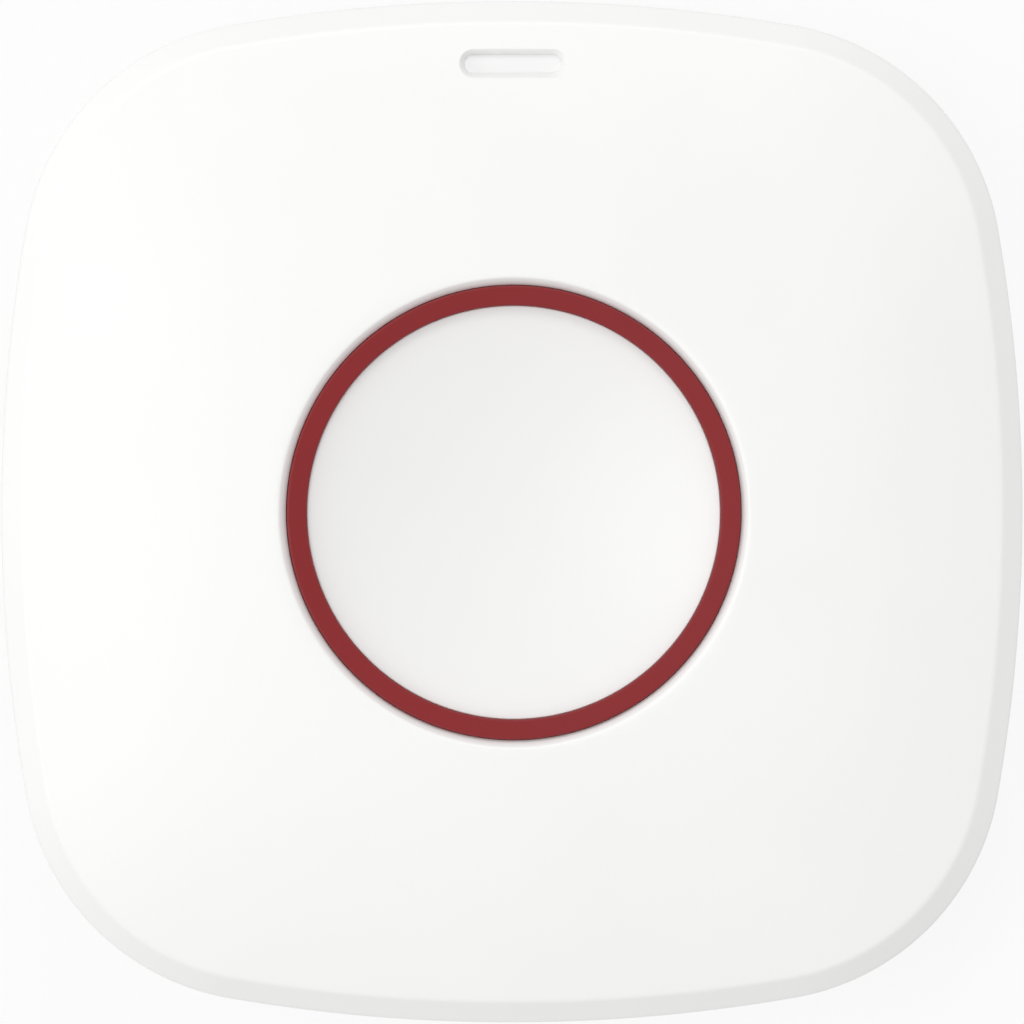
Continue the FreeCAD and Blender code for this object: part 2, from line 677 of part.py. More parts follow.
def cut_keyholes(body):
    """Two keyholes with closed pockets behind them for the wall screws' heads."""
    middle = "KeyholeTravel / 2 - KeyholeEntryDrop"
    heads = new_sketch(body, "keyhole_heads", "RearFloor")
    slots = new_sketch(body, "keyhole_slots")
    entries = new_sketch(body, "keyhole_entries")
    for side in ("KeyholeX", "-KeyholeX"):
        stadium(heads, side, middle, "KeyholeTravel + 2 * KeyholeHeadRadius", "2 * KeyholeHeadRadius",
                upright=True)
        stadium(slots, side, middle, "KeyholeTravel + KeyholeSlotWidth", "KeyholeSlotWidth", upright=True)
        circle(entries, side, "-KeyholeEntryDrop", "KeyholeEntryRadius")
    pocket(body, heads, "KeyholeHeadRoom", up=True)
    pocket(body, slots, "RearFloor + ThreadFit", up=True)
    pocket(body, entries, "RearFloor + ThreadFit", up=True)


def make_housing_seal():
    """Flat rubber frame between the lip and the cover."""
    body = new_body("housing_seal")
    pad(body, housing_outline(body, "outer", "CoverWall + SealClearance", "SealFoot"), "SealThickness")
    pocket(body, housing_outline(body, "inner", "InnerInset", "SealFoot"), "SealThickness", up=True)
    return body


def make_indicator_window():
    """Clear light pipe: tilted face in the slot, flange under the cover and stem to the lamp."""
    body = new_body("indicator_window")
    face = new_sketch(body, "face", role="YZ_Plane")
    near = "SlotCentre - ShaftWidth / 2 + WindowClearance"
    far = "SlotCentre + ShaftWidth / 2 - WindowClearance"
    top = "SlotSurface - WindowRecess"
    low = "WindowSeat - WindowFlangeHeight / 2"
    profile(face, [(near, low), (far, low), (far, f"{top} - WindowTilt"), (near, f"{top} + WindowTilt")])
    block = pad(body, face, "ShaftLength - 2 * WindowClearance", both=True)
    document.recompute()
    names = [f"Edge{index}" for index, edge in enumerate(block.Shape.Edges, 1)
             if abs(edge.Vertexes[0].X - edge.Vertexes[-1].X) < 0.01
             and abs(edge.Vertexes[0].Y - edge.Vertexes[-1].Y) < 0.01]
    ends = body.newObject("PartDesign::Fillet", "indicator_window_ends")
    ends.Base = (block, names)
    ends.setExpression("Radius", bound("ShaftWidth / 2 - WindowClearance - 0.01"))
    flange = new_sketch(body, "flange", "WindowSeat")
    rectangle(flange, "0", "SlotCentre - (WindowFlangeWidth - SlotWidth) / 2",
              "WindowFlangeLength - 2 * WindowClearance", "WindowFlangeWidth - 2 * WindowClearance")
    pad(body, flange, "WindowFlangeHeight", down=True)
    stem = new_sketch(body, "stem", "BoardTop + LampHeight + LampLens + WindowLampGap")
    rectangle(stem, "0", "SlotCentre - SlotWidth / 4", "WindowStemLength", "WindowStemWidth")
    pad(body, stem, "WindowSeat - BoardTop - LampHeight - LampLens - WindowLampGap")
    return body


def make_battery_door():
    """Round door with coin slot, seal groove, cell cup and three lugs."""
    body = new_body("battery_door")
    flange = new_sketch(body, "flange", "DoorRecess")
    circle(flange, "0", "0", "DoorFlangeRadius")
    disc = pad(body, flange, "DoorFlangeThickness")
    bevel_edges(body, disc, "DoorRecess", "DoorBossRadius", "DoorFlangeRadius + 1", "CapEdge")
    boss = new_sketch(body, "boss", "DoorFlangeTop")
    circle(boss, "0", "0", "DoorBossRadius")
    pad(body, boss, "LugTop - DoorFlangeTop")
    lug = new_sketch(body, "lug", "LugFoot")
    rectangle(lug, "LugRadius - 2 * LugReach", "0", "4 * LugReach", "LugWidth")
    polar(body, [pad(body, lug, "LugHeight")], "LugCount")
    cup = new_sketch(body, "cup", "LugTop")
    circle(cup, "0", "0", "CupRadius")
    pocket(body, cup, "LugTop - CupFloor")
    slot = new_sketch(body, "coin_slot", "DoorRecess")
    stadium(slot, "0", "0", "CoinSlotLength", "CoinSlotWidth")
    pocket(body, slot, "CoinSlotDepth", up=True)
    return body


def make_door_seal():
    """Square ring seal between the door's flange and the ledge."""
    body = new_body("door_seal")
    middle = "(DoorBossRadius + DoorFlangeRadius + DoorClearance) / 2"
    ring = new_sketch(body, "ring", "DoorFlangeTop")
    circle(ring, "0", "0", f"{middle} + DoorSealCord / 2")
    circle(ring, "0", "0", f"{middle} - DoorSealCord / 2")
    pad(body, ring, "DoorSealCord")
    return body


def make_coin_cell():
    """Coin cell: can with a bevelled foot and the smaller cap on top."""
    body = new_body("coin_cell")
    section = new_sketch(body, "section", role="XZ_Plane")
    shoulder = "CellTop - CellCapHeight"
    corners = [("0", "CellFoot"), ("CellRadius - CellEdge", "CellFoot"),
               ("CellRadius", "CellFoot + CellEdge"), ("CellRadius", shoulder), ("CellCapRadius", shoulder),
               ("CellCapRadius", "CellTop"), ("0", "CellTop")]
    profile(section, corners)
    revolve(body, section)
    return body


def make_battery_holder():
    """Split ring under the board that locates the cell."""
    body = new_body("battery_holder")
    inner = "CellRadius + CellPlay"
    flange = new_sketch(body, "flange", "BoardFoot")
    circle(flange, "0", "0", f"{inner} + HolderFlangeWidth + HolderWall")
    pad(body, flange, "HolderFlangeThickness", down=True)
    wall = new_sketch(body, "wall", "BoardFoot")
    circle(wall, "0", "0", f"{inner} + HolderWall")
    pad(body, wall, "BoardFoot - LugTop - HolderDrop", down=True)
    hole = new_sketch(body, "hole", "BoardFoot")
    circle(hole, "0", "0", inner)
    pocket(body, hole, "BoardFoot - LugTop")
    gap = new_sketch(body, "gap", "BoardFoot")
    rectangle(gap, "-CellRadius - HolderWall", "0", "4 * HolderWall + 2 * HolderFlangeWidth", "HolderGap")
    pocket(body, gap, "BoardFoot - LugTop")
    return body


def make_positive_contact():
    """Bent strip that presses on the side of the can."""
    body = new_body("positive_contact")
    strip = new_sketch(body, "strip", role="XZ_Plane")
    touch = "-CellRadius - ThreadFit"
    profile(strip, [(touch, "LugTop + 2 * HolderDrop"), (touch, "BoardFoot"),
                    (f"{touch} - ContactFoot", "BoardFoot"),
                    (f"{touch} - ContactFoot", "BoardFoot - ContactThickness"),
                    (f"{touch} - ContactThickness", "BoardFoot - ContactThickness"),
                    (f"{touch} - ContactThickness", "LugTop + 2 * HolderDrop")])
    pad(body, strip, "ContactWidth", both=True)
    return body


def make_negative_contact():
    """Leaf spring under the board that presses on the cell's cap."""
    body = new_body("negative_contact")
    leaf = new_sketch(body, "leaf", role="XZ_Plane")
    tip = "CellTop + ThreadFit"
    profile(leaf, [("SpringReach / 2", "BoardFoot"), ("ContactFoot", "BoardFoot"),
                   ("-SpringReach / 3", f"{tip} + ContactThickness"),
                   ("-SpringReach / 2", f"{tip} + 2 * ContactThickness"),
                   ("-SpringReach / 2", f"{tip} + ContactThickness"), ("-SpringReach / 3", tip),
                   ("ContactFoot", "BoardFoot - ContactThickness"),
                   ("SpringReach / 2", "BoardFoot - ContactThickness")])
    pad(body, leaf, "ContactWidth", both=True)
    return body


def make_circuit_board():
    """Board with corner notches round the bosses and four screw holes."""
    body = new_body("circuit_board")
    pad(body, housing_outline(body, "plate", "InnerInset + BoardClearance", "BoardFoot"), "BoardThickness")
    notches = four_circles(body, "notches", "BoardFoot", "CaseScrewOffset", "CaseScrewOffset",
                           "CaseBossRadius + BoardNotch")
    pocket(body, notches, "BoardThickness", up=True)
    holes = four_circles(body, "holes", "BoardFoot", "BoardPostX", "BoardPostY", "BoardHoleRadius")
    pocket(body, holes, "BoardThickness", up=True)
    return body


def screw_group(label, spots, tip, seat, top, radius, head_radius, down):
    """Four like screws in one node; the drive recess is on the head's free face."""
    body = new_body(label)
    body.AllowCompound = True
    heads = new_sketch(body, "heads", seat)
    shanks = new_sketch(body, "shanks", seat)
    drives = new_sketch(body, "drives", top)
    for x, y in spots:
        circle(heads, x, y, head_radius)
        circle(shanks, x, y, radius)
        cross = [(1, -1, "arm"), (1, 1, "arm"), (1, 1, "inner"), (1, 1, "tall"), (-1, 1, "tall"),
                 (-1, 1, "inner"), (-1, 1, "arm"), (-1, -1, "arm"), (-1, -1, "inner"),
                 (-1, -1, "tall"), (1, -1, "tall"), (1, -1, "inner")]
        reach = {"arm": ("DriveArm", "DriveWidth / 2"), "inner": ("DriveWidth / 2", "DriveWidth / 2"),
                 "tall": ("DriveWidth / 2", "DriveArm")}
        profile(drives, [(f"{x} + {sx} * {reach[kind][0]}", f"{y} + {sy} * {reach[kind][1]}")
                         for sx, sy, kind in cross])
    pad(body, heads, f"abs(({top}) - ({seat}))", down=down)
    pad(body, shanks, f"abs(({tip}) - ({seat}))", down=not down)
    pocket(body, drives, "DriveDepth", up=down)
    return body


def make_case_screws():
    """Screws that hold the two halves together, driven from the rear."""
    return screw_group("case_screws", corners_of("CaseScrewOffset", "CaseScrewOffset"), "CaseScrewTip",
                       "CaseScrewSeat", "CaseScrewSeat - CaseScrewHeadHeight", "CaseScrewRadius",
                       "CaseScrewHeadRadius", down=True)


def make_board_screws():
    """Screws that hold the board on its posts."""
    return screw_group("board_screws", corners_of("BoardPostX", "BoardPostY"),
                       "BoardTop - BoardScrewLength", "BoardTop", "BoardTop + BoardScrewHeadHeight",
                       "BoardScrewRadius", "BoardScrewHeadRadius", down=False)


def make_switch_base():
    """Moulded base of the tactile switch with the well for its plunger."""
    body = new_body("switch_base")
    block = new_sketch(body, "block", "BoardTop")
    rectangle(block, "0", "0", "SwitchWidth", "SwitchWidth")
    pad(body, block, "SwitchBaseHeight")
    well = new_sketch(body, "well", "SwitchBaseTop")
    circle(well, "0", "0", "SwitchWellRadius")
    pocket(body, well, "SwitchWell")
    return body


def make_switch_frame():
    """Pressed steel cover over the switch base, folded down on two sides."""
    body = new_body("switch_frame")
    plate = new_sketch(body, "plate", "SwitchBaseTop")
    rectangle(plate, "0", "0", "SwitchWidth + 2 * SwitchFrameThickness", "SwitchWidth")
    pad(body, plate, "SwitchFrameThickness")
    flaps = new_sketch(body, "flaps", "SwitchBaseTop")
    for side in ("(SwitchWidth + SwitchFrameThickness) / 2", "-(SwitchWidth + SwitchFrameThickness) / 2"):
        rectangle(flaps, side, "0", "SwitchFrameThickness", "SwitchWidth / 2")
    pad(body, flaps, "SwitchBaseHeight", down=True)
    hole = new_sketch(body, "hole", "SwitchTop")
    circle(hole, "0", "0", "PlungerRadius + PlungerPlay")
    pocket(body, hole, "SwitchFrameThickness")
    return body


def make_switch_plunger():
    """Plunger of the switch, kept in by its flange."""
    body = new_body("switch_plunger")
    collar = "SwitchBaseTop - PlungerPlay"
    foot = new_sketch(body, "foot", collar)
    circle(foot, "0", "0", "PlungerRadius + PlungerFlange")
    pad(body, foot, "PlungerFlangeHeight", down=True)
    stem = new_sketch(body, "stem", collar)
    circle(stem, "0", "0", "PlungerRadius")
    pad(body, stem, f"PlungerTop - ({collar})")
    return body


def make_button_membrane():
    """Silicone membrane: foot on the board, sloping web and crown under the carrier."""
    body = new_body("button_membrane")
    section = new_sketch(body, "section", role="XZ_Plane")
    foot_top = "BoardTop + MembraneFootHeight"
    crown_foot = "CarrierFoot - MembraneCrownHeight"
    profile(section, [("MembraneFootRadius - MembraneFootWidth", "BoardTop"),
                      ("MembraneFootRadius", "BoardTop"), ("MembraneFootRadius", foot_top),
                      ("MembraneFootRadius - MembraneFootWidth + MembraneWeb", foot_top),
                      ("MembraneCrownRadius", "CarrierFoot"),
                      ("MembraneCrownRadius - MembraneCrownWidth", "CarrierFoot"),
                      ("MembraneCrownRadius - MembraneCrownWidth", crown_foot),
                      ("MembraneCrownRadius - MembraneWeb", crown_foot)])
    revolve(body, section)
    return body


def make_button_carrier():
    """Carrier disc: stop flange, step inside the ring, pusher, peg holes and key notches."""
    body = new_body("button_carrier")
    flange = new_sketch(body, "flange", "CarrierFoot")
    circle(flange, "0", "0", "BoreRadius + CarrierFlangeReach")
    pad(body, flange, "CarrierThickness")
    step = new_sketch(body, "step", "CarrierTop")
    circle(step, "0", "0", "RingInner - CapClearance")
    pad(body, step, "CarrierStep")
    pusher = new_sketch(body, "pusher", "CarrierFoot")
    circle(pusher, "0", "0", "PusherRadius")
    pad(body, pusher, "PusherHeight", down=True)
    peg_hole = new_sketch(body, "peg_hole", "CapSeat")
    circle(peg_hole, "0", "CapPegCircle", "CapPegRadius + PegFit")
    polar(body, [pocket(body, peg_hole, "CapSeat - CarrierFoot")], "3")
    notch = new_sketch(body, "notch", "CarrierTop")
    rectangle(notch, "CollarRadius - CollarKeyDepth / 2", "0", "CollarKeyDepth + 2 * KeyPlay",
              "CollarKeyWidth + 2 * KeyPlay")
    polar(body, [pocket(body, notch, "CarrierThickness")], "3")
    return body


def make_button_ring():
    """Coloured ring round the cap."""
    body = new_body("button_ring")
    outer = new_sketch(body, "outer", "CarrierTop")
    circle(outer, "0", "0", "RingRadius")
    circle(outer, "0", "0", "RingInner")
    tube = pad(body, outer, "RingTop - CarrierTop")
    bevel_edges(body, tube, "RingTop", "RingInner / 2", "RingRadius + 1", "RingEdge")
    return body


def make_button_cap():
    """Cap with a spherical dish in bands, a bevelled edge and three pegs into the carrier."""
    body = new_body("button_cap")
    section = new_sketch(body, "section", role="XZ_Plane")
    edge = "CapRadius - CapEdge"
    corners = [("0", "CapSeat"), ("CapRadius", "CapSeat"), ("CapRadius", "CapTop - CapEdge"),
               (edge, "CapTop")]
    for band in range(DISH_BAND_COUNT - 1, -1, -1):
        reach = f"({edge}) * {band / DISH_BAND_COUNT}"
        corners.append((reach, f"DishFoot + DishRadius - sqrt(DishRadius ^ 2 - ({reach}) ^ 2)"))
    profile(section, corners)
    revolve(body, section)
    peg = new_sketch(body, "peg", "CarrierFoot + CapEdge")
    circle(peg, "0", "CapPegCircle", "CapPegRadius")
    polar(body, [pad(body, peg, "CapSeat - CarrierFoot")], "3")
    return body


def make_radio_shield():
    """Folded steel can over the radio, open below."""
    body = new_body("radio_shield")
    can = new_sketch(body, "can", "BoardTop")
    rectangle(can, "ShieldX", "ShieldY", "ShieldWidth", "ShieldWidth")
    block = pad(body, can, "ShieldHeight")
    document.recompute()
    names = [f"Edge{index}" for index, edge in enumerate(block.Shape.Edges, 1)
             if abs(edge.Vertexes[0].Z - edge.Vertexes[-1].Z) > number("ShieldHeight / 2")]
    bends = body.newObject("PartDesign::Fillet", "radio_shield_bends")
    bends.Base = (block, names)
    bends.setExpression("Radius", bound("ShieldCorner"))
    hollow = new_sketch(body, "hollow", "BoardTop")
    inner = "ShieldWidth - 2 * ShieldWall - ShieldCorner / 2"
    rectangle(hollow, "ShieldX", "ShieldY", inner, inner)
    pocket(body, hollow, "ShieldHeight - ShieldWall", up=True)
    vents = new_sketch(body, "vents", "BoardTop + ShieldHeight")
    for shift_x in (-1, 1):
        for shift_y in (-1, 1):
            circle(vents, f"ShieldX + {shift_x} * ShieldWidth / 4", f"ShieldY + {shift_y} * ShieldWidth / 4",
                   "ShieldCorner")
    pocket(body, vents, "ShieldWall + ThreadFit")
    return body


def make_controller_chip():
    """Square leadless chip with bevelled top edges."""
    body = new_body("controller_chip")
    square = new_sketch(body, "square", "BoardTop")
    rectangle(square, "ChipX", "ChipY", "ChipWidth", "ChipWidth")
    block = pad(body, square, "ChipHeight")
    bevel_edges(body, block, "BoardTop + ChipHeight", "0", "HousingWidth", "ChipEdge")
    return body


def make_crystal():
    """Metal-lidded quartz crystal."""
    body = new_body("crystal")
    plate = new_sketch(body, "plate", "BoardTop")
    rectangle(plate, "CrystalX", "CrystalY", "CrystalLength", "CrystalWidth")
    pad(body, plate, "CrystalHeight / 2")
    lid = new_sketch(body, "lid", "BoardTop + CrystalHeight / 2")
    rectangle(lid, "CrystalX", "CrystalY", "CrystalLength - CrystalCorner", "CrystalWidth - CrystalCorner")
    pad(body, lid, "CrystalHeight / 2")
    return body


def make_chip_passives():
    """Row of small resistors and capacitors on each side of the board, in one node."""
    body = new_body("chip_passives")
    body.AllowCompound = True
    blocks = new_sketch(body, "blocks", "BoardTop")
    for step in range(5):
        rectangle(blocks, f"PassiveX - {step} * PassivePitch", "PassiveY", "PassiveWidth", "PassiveLength")
        rectangle(blocks, f"{step} * PassivePitch - PassiveX", "-PassiveY", "PassiveWidth",
                  "PassiveLength")
    pad(body, blocks, "PassiveHeight")
    return body


def make_antenna():
    """Stamped inverted-F antenna that stands on the board's edge."""
    body = new_body("antenna")
    shape = new_sketch(body, "shape", "-(AntennaY)", role="XZ_Plane")
    left, right = "-AntennaLength / 2", "AntennaLength / 2"
    top = "BoardTop + AntennaHeight"
    under = f"{top} - AntennaStrip"
    feed = f"{left} + AntennaFeed"
    profile(shape, [(left, "BoardTop"), (f"{left} + AntennaStrip", "BoardTop"),
                    (f"{left} + AntennaStrip", under), (feed, under), (feed, "BoardTop"),
                    (f"{feed} + AntennaStrip", "BoardTop"), (f"{feed} + AntennaStrip", under),
                    (right, under), (right, top), (left, top)])
    pad(body, shape, "AntennaThickness", both=True)
    return body


def make_indicator_lamp():
    """Surface-mounted lamp under the window's stem."""
    body = new_body("indicator_lamp")
    base = new_sketch(body, "base", "BoardTop")
    rectangle(base, "0", "SlotCentre - SlotWidth / 4", "LampLength", "LampWidth")
    pad(body, base, "LampHeight")
    lens = new_sketch(body, "lens", "BoardTop + LampHeight")
    rectangle(lens, "0", "SlotCentre - SlotWidth / 4", "LampLength - 2 * LampLensInset",
              "LampWidth - 2 * LampLensInset")
    pad(body, lens, "LampLens")
    return body


MAKERS = (make_front_cover, make_rear_case, make_housing_seal, make_indicator_window, make_battery_door,
          make_door_seal, make_coin_cell, make_battery_holder, make_positive_contact,
          make_negative_contact, make_circuit_board, make_case_screws, make_board_screws,
          make_switch_base, make_switch_frame, make_switch_plunger, make_button_membrane,
          make_button_carrier, make_button_ring, make_button_cap, make_radio_shield,
          make_controller_chip, make_crystal, make_chip_passives, make_antenna, make_indicator_lamp)


def check_features():
    """Stops when any object of the document failed to build."""
    for item in document.Objects:
        if "Invalid" in item.State or "Error" in item.State:
            raise RuntimeError(f"{item.Name} did not build: {item.State}")


def main():
    """Builds every sub-part and writes one STEP file for each."""
    fill_sheet()
    nodes = [maker() for maker in MAKERS]
    document.recompute()
    check_features()
    os.makedirs("parts", exist_ok=True)
    for node in nodes:
        if node.Shape.isNull() or not node.Shape.isValid():
            raise RuntimeError(f"{node.Label} has no valid shape")
        node.Shape.exportStep(f"parts/{node.Label}.step")
        box = node.Shape.BoundBox
        print(f"{node.Label}: {len(node.Shape.Solids)} solids, {node.Shape.Volume:.1f} mm3, "
              f"z {box.ZMin:.2f} to {box.ZMax:.2f}")


main()
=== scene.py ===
"""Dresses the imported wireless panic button: smooth skins, finishes, studio light and camera.

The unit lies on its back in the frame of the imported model: the origin is the middle of the rear
face, +Z runs out of the push button and +Y runs to the indicator window. The sizes of the unit are
written in millimetres and become metres where a mesh is made. The studio's places are in metres.
"""
from __future__ import annotations

import json
import logging
import math
from dataclasses import dataclass, field
from enum import Enum

import bpy
import numpy as np
from mathutils import Matrix, Vector


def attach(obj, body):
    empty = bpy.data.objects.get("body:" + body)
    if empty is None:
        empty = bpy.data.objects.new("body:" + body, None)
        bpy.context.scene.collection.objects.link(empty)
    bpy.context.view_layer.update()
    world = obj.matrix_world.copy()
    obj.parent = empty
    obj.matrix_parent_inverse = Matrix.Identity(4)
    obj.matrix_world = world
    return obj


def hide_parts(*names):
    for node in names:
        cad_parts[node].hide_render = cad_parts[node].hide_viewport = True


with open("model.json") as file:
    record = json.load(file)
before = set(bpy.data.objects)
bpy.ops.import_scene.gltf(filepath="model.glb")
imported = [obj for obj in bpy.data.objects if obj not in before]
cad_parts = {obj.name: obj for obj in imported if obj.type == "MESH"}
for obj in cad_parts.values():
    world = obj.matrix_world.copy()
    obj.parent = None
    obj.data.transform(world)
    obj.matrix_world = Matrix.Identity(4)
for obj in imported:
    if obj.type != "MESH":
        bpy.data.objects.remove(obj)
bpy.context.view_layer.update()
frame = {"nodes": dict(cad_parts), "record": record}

MM = 0.001
MICRON = 0.000001
# point attribute that is 1 where an edge is rounded
EDGE_MASK = "edge"
LOG = logging.getLogger("panic_button")


# surfaces

# directions, in degrees, of what stands on the diagonals and of what stands three times round
DIAGONALS = (45, 135, 225, 315)
THIRDS = (0, 120, 240)

# the largest share of a side that a rounding takes, and that the point beyond it lies along
ROUND_LIMIT = 0.44
LEAD_LIMIT = 0.48
# how far from the corner that point lies, in roundings
LEAD_REACH = 1.35
# smallest length that anything is divided by
TINY = 1e-6


def outline_radii(half: np.ndarray, side: np.ndarray, corner: np.ndarray,
                  angle: np.ndarray) -> np.ndarray:
    """Distance from the axis to a rounded-square outline, per row and per angle.

    The outline has four side arcs of radius S whose centres lie k = S - half behind the middle, and
    four corner arcs of radius C centred at (c, c), where the two meet in tangency:
    (c + k)^2 + c^2 = (S - C)^2. A ray at angle a from the nearest axis meets the side arc at
    -k cos a + sqrt(S^2 - k^2 sin^2 a), and past the joint it meets the corner arc at
    p + sqrt(p^2 - 2 c^2 + C^2) with p = c (cos a + sin a).

    Args:
        half: Half-width of each row's outline.
        side: Side arc radius of each row.
        corner: Corner arc radius of each row.
        angle: Angles round the axis.

    Returns:
        Radii, one row for each outline and one column for each angle.
    """
    half, side, corner = (part[:, None] for part in (half, side, corner))
    turn = np.abs((angle + math.pi / 4) % (math.pi / 2) - math.pi / 4)[None, :]
    away = side - half
    spread = side - corner
    centre = (np.sqrt(np.maximum(2 * spread ** 2 - away ** 2, 0)) - away) / 2
    joint = np.arctan2(centre, centre + away)
    on_side = -away * np.cos(turn) + np.sqrt(side ** 2 - (away * np.sin(turn)) ** 2)
    seen = np.arctan2(on_side * np.sin(turn), on_side * np.cos(turn) + away)
    pull = centre * (np.cos(turn) + np.sin(turn))
    on_corner = pull + np.sqrt(np.maximum(pull ** 2 - 2 * centre ** 2 + corner ** 2, 0))
    return np.where(seen <= joint, on_side, on_corner)


def softened(rows: np.ndarray, steps: int = 7) -> tuple[np.ndarray, np.ndarray]:
    """Rounds the corners of a section given as rows of (half, side, corner, level, rounding).

    Each corner P becomes the curve (1 - t)^2 A + 2 t (1 - t) P + t^2 B, where A and B lie its
    rounding before and after it, measured in half-width and level, or less where a side is short.
    A further point on each side keeps the straight parts straight.

    Args:
        rows: Section, one row for each point, taken as closed. A rounding of 0 leaves it sharp.
        steps: Points on each rounded corner.

    Returns:
        The section without its column of roundings, and a mask that is 1 in the middle of each.
    """
    rounding = rows[:, 4]
    rows = rows[:, :4]
    before = rows - np.roll(rows, 1, axis=0)
    after = np.roll(rows, -1, axis=0) - rows
    share_before = rounding / np.maximum(np.hypot(before[:, 0], before[:, 3]), TINY)
    share_after = rounding / np.maximum(np.hypot(after[:, 0], after[:, 3]), TINY)
    start = rows - before * np.minimum(share_before, ROUND_LIMIT)[:, None]
    end = rows + after * np.minimum(share_after, ROUND_LIMIT)[:, None]
    lead = rows - before * np.minimum(LEAD_REACH * share_before, LEAD_LIMIT)[:, None]
    trail = rows + after * np.minimum(LEAD_REACH * share_after, LEAD_LIMIT)[:, None]
    share = np.linspace(0, 1, steps)
    part = share[None, :, None]
    curve = ((1 - part) ** 2 * start[:, None] + 2 * part * (1 - part) * rows[:, None]
             + part ** 2 * end[:, None])
    curve = np.concatenate([lead[:, None], curve, trail[:, None]], axis=1)
    worn = np.tile(np.concatenate([[0.0], 4 * share * (1 - share), [0.0]]), (len(rows), 1))
    keep = np.ones(worn.shape, dtype=bool)
    keep[rounding == 0, 1:] = False
    worn[rounding == 0] = 0.0
    return curve[keep], worn[keep]


def swept_points(section: np.ndarray, count: int) -> np.ndarray:
    """Points of a section carried round the axis along its rows' outlines.

    Args:
        section: Rows of (half, side, corner, level) in millimetres.
        count: Columns round the axis.

    Returns:
        Array of rows x count x 3 in metres.
    """
    angle = np.linspace(0, 2 * math.pi, count, endpoint=False)
    radii = outline_radii(section[:, 0], section[:, 1], section[:, 2], angle)
    level = np.broadcast_to(section[:, 3:4], radii.shape)
    return np.stack([radii * np.cos(angle), radii * np.sin(angle), level], axis=2) * MM


def circle_rows(*spots: tuple[float, ...]) -> np.ndarray:
    """Section rows whose outlines are circles.

    Args:
        spots: Radius, level and rounding of each point. A rounding that is left out is 0.

    Returns:
        The rows.
    """
    return np.array([(spot[0], spot[0], spot[0], *spot[1:], 0.0)[:5] for spot in spots])


def rectangle(low: tuple[float, float], high: tuple[float, float]) -> np.ndarray:
    """Corners of a rectangle, counter-clockwise from its lowest in both directions."""
    return np.array([(low[0], low[1]), (high[0], low[1]), (high[0], high[1]), (low[0], high[1])])


def lifted(flat: np.ndarray, level: float) -> np.ndarray:
    """Points of a flat outline at a level, from millimetres to metres."""
    return np.column_stack([flat, np.full(len(flat), level)]) * MM


def stadium_ring(length: float, width: float, level: float, centre: tuple[float, float],
                 upright: bool = False, slope: float = 0.0, steps: int = 28) -> np.ndarray:
    """Slot outline: two half circles of radius width / 2, whose centres are length - width apart.

    Args:
        length: Full length.
        width: Full width.
        level: Height of the outline over its centre.
        centre: Middle of the slot.
        upright: Whether the slot runs along Y and not along X.
        slope: Rise of the outline along Y.
        steps: Points on each half circle.

    Returns:
        Points of the outline in metres, counter-clockwise.
    """
    turn = np.linspace(-math.pi / 2, math.pi / 2, steps)
    half = np.stack([(length - width) / 2 + width / 2 * np.cos(turn), width / 2 * np.sin(turn)], axis=1)
    flat = np.concatenate([half, -half])
    if upright:
        flat = np.stack([-flat[:, 1], flat[:, 0]], axis=1)
    height = level + slope * flat[:, 1:2]
    return np.concatenate([flat + np.array(centre), height], axis=1) * MM


def mirrored(x: float, y: float) -> list[tuple[float, float]]:
    """The four mirrored places of a point."""
    return [(x, y), (-x, y), (-x, -y), (x, -y)]


# pieces


class Carving(Enum):
    """What a carving does to a piece, by Blender's own words for it."""

    ADD = "UNION"
    CUT = "DIFFERENCE"


def smooth(piece: bpy.types.Object, degrees: float = 32.0) -> None:
    """Shades a piece smooth, with edges sharper than an angle kept crisp."""
    piece.data.shade_smooth()
    piece.data.set_sharp_from_angle(angle=math.radians(degrees))


def new_piece(name: str, points: np.ndarray, quads: np.ndarray, fans: np.ndarray,
              worn: np.ndarray) -> bpy.types.Object:
    """Links a closed mesh to the scene, with its faces outward and its edge mask as an attribute.

    The sum of a . (b x c) over the triangles of a closed mesh is six times its volume, and it is
    negative where the faces point inward. Then every face is written the other way round.

    Args:
        name: Name of the piece.
        points: Points in metres.
        quads: Point numbers of the four-sided faces.
        fans: Point numbers of the triangles.
        worn: Edge mask of each point.

    Returns:
        The piece, shaded smooth.
    """
    triangles = np.concatenate([quads[:, :3], quads[:, [0, 2, 3]], fans])
    one, two, three = (points[triangles[:, i]] for i in range(3))
    way = -1 if np.einsum("ij,ij->", one, np.cross(two, three)) < 0 else 1
    mesh = bpy.data.meshes.new(name)
    mesh.from_pydata(points.tolist(), [], quads[:, ::way].tolist() + fans[:, ::way].tolist())
    mask = mesh.attributes.new(EDGE_MASK, "FLOAT", "POINT")
    mask.data.foreach_set("value", worn.astype(np.float32))
    piece = bpy.data.objects.new(name, mesh)
    bpy.context.scene.collection.objects.link(piece)
    smooth(piece)
    return piece


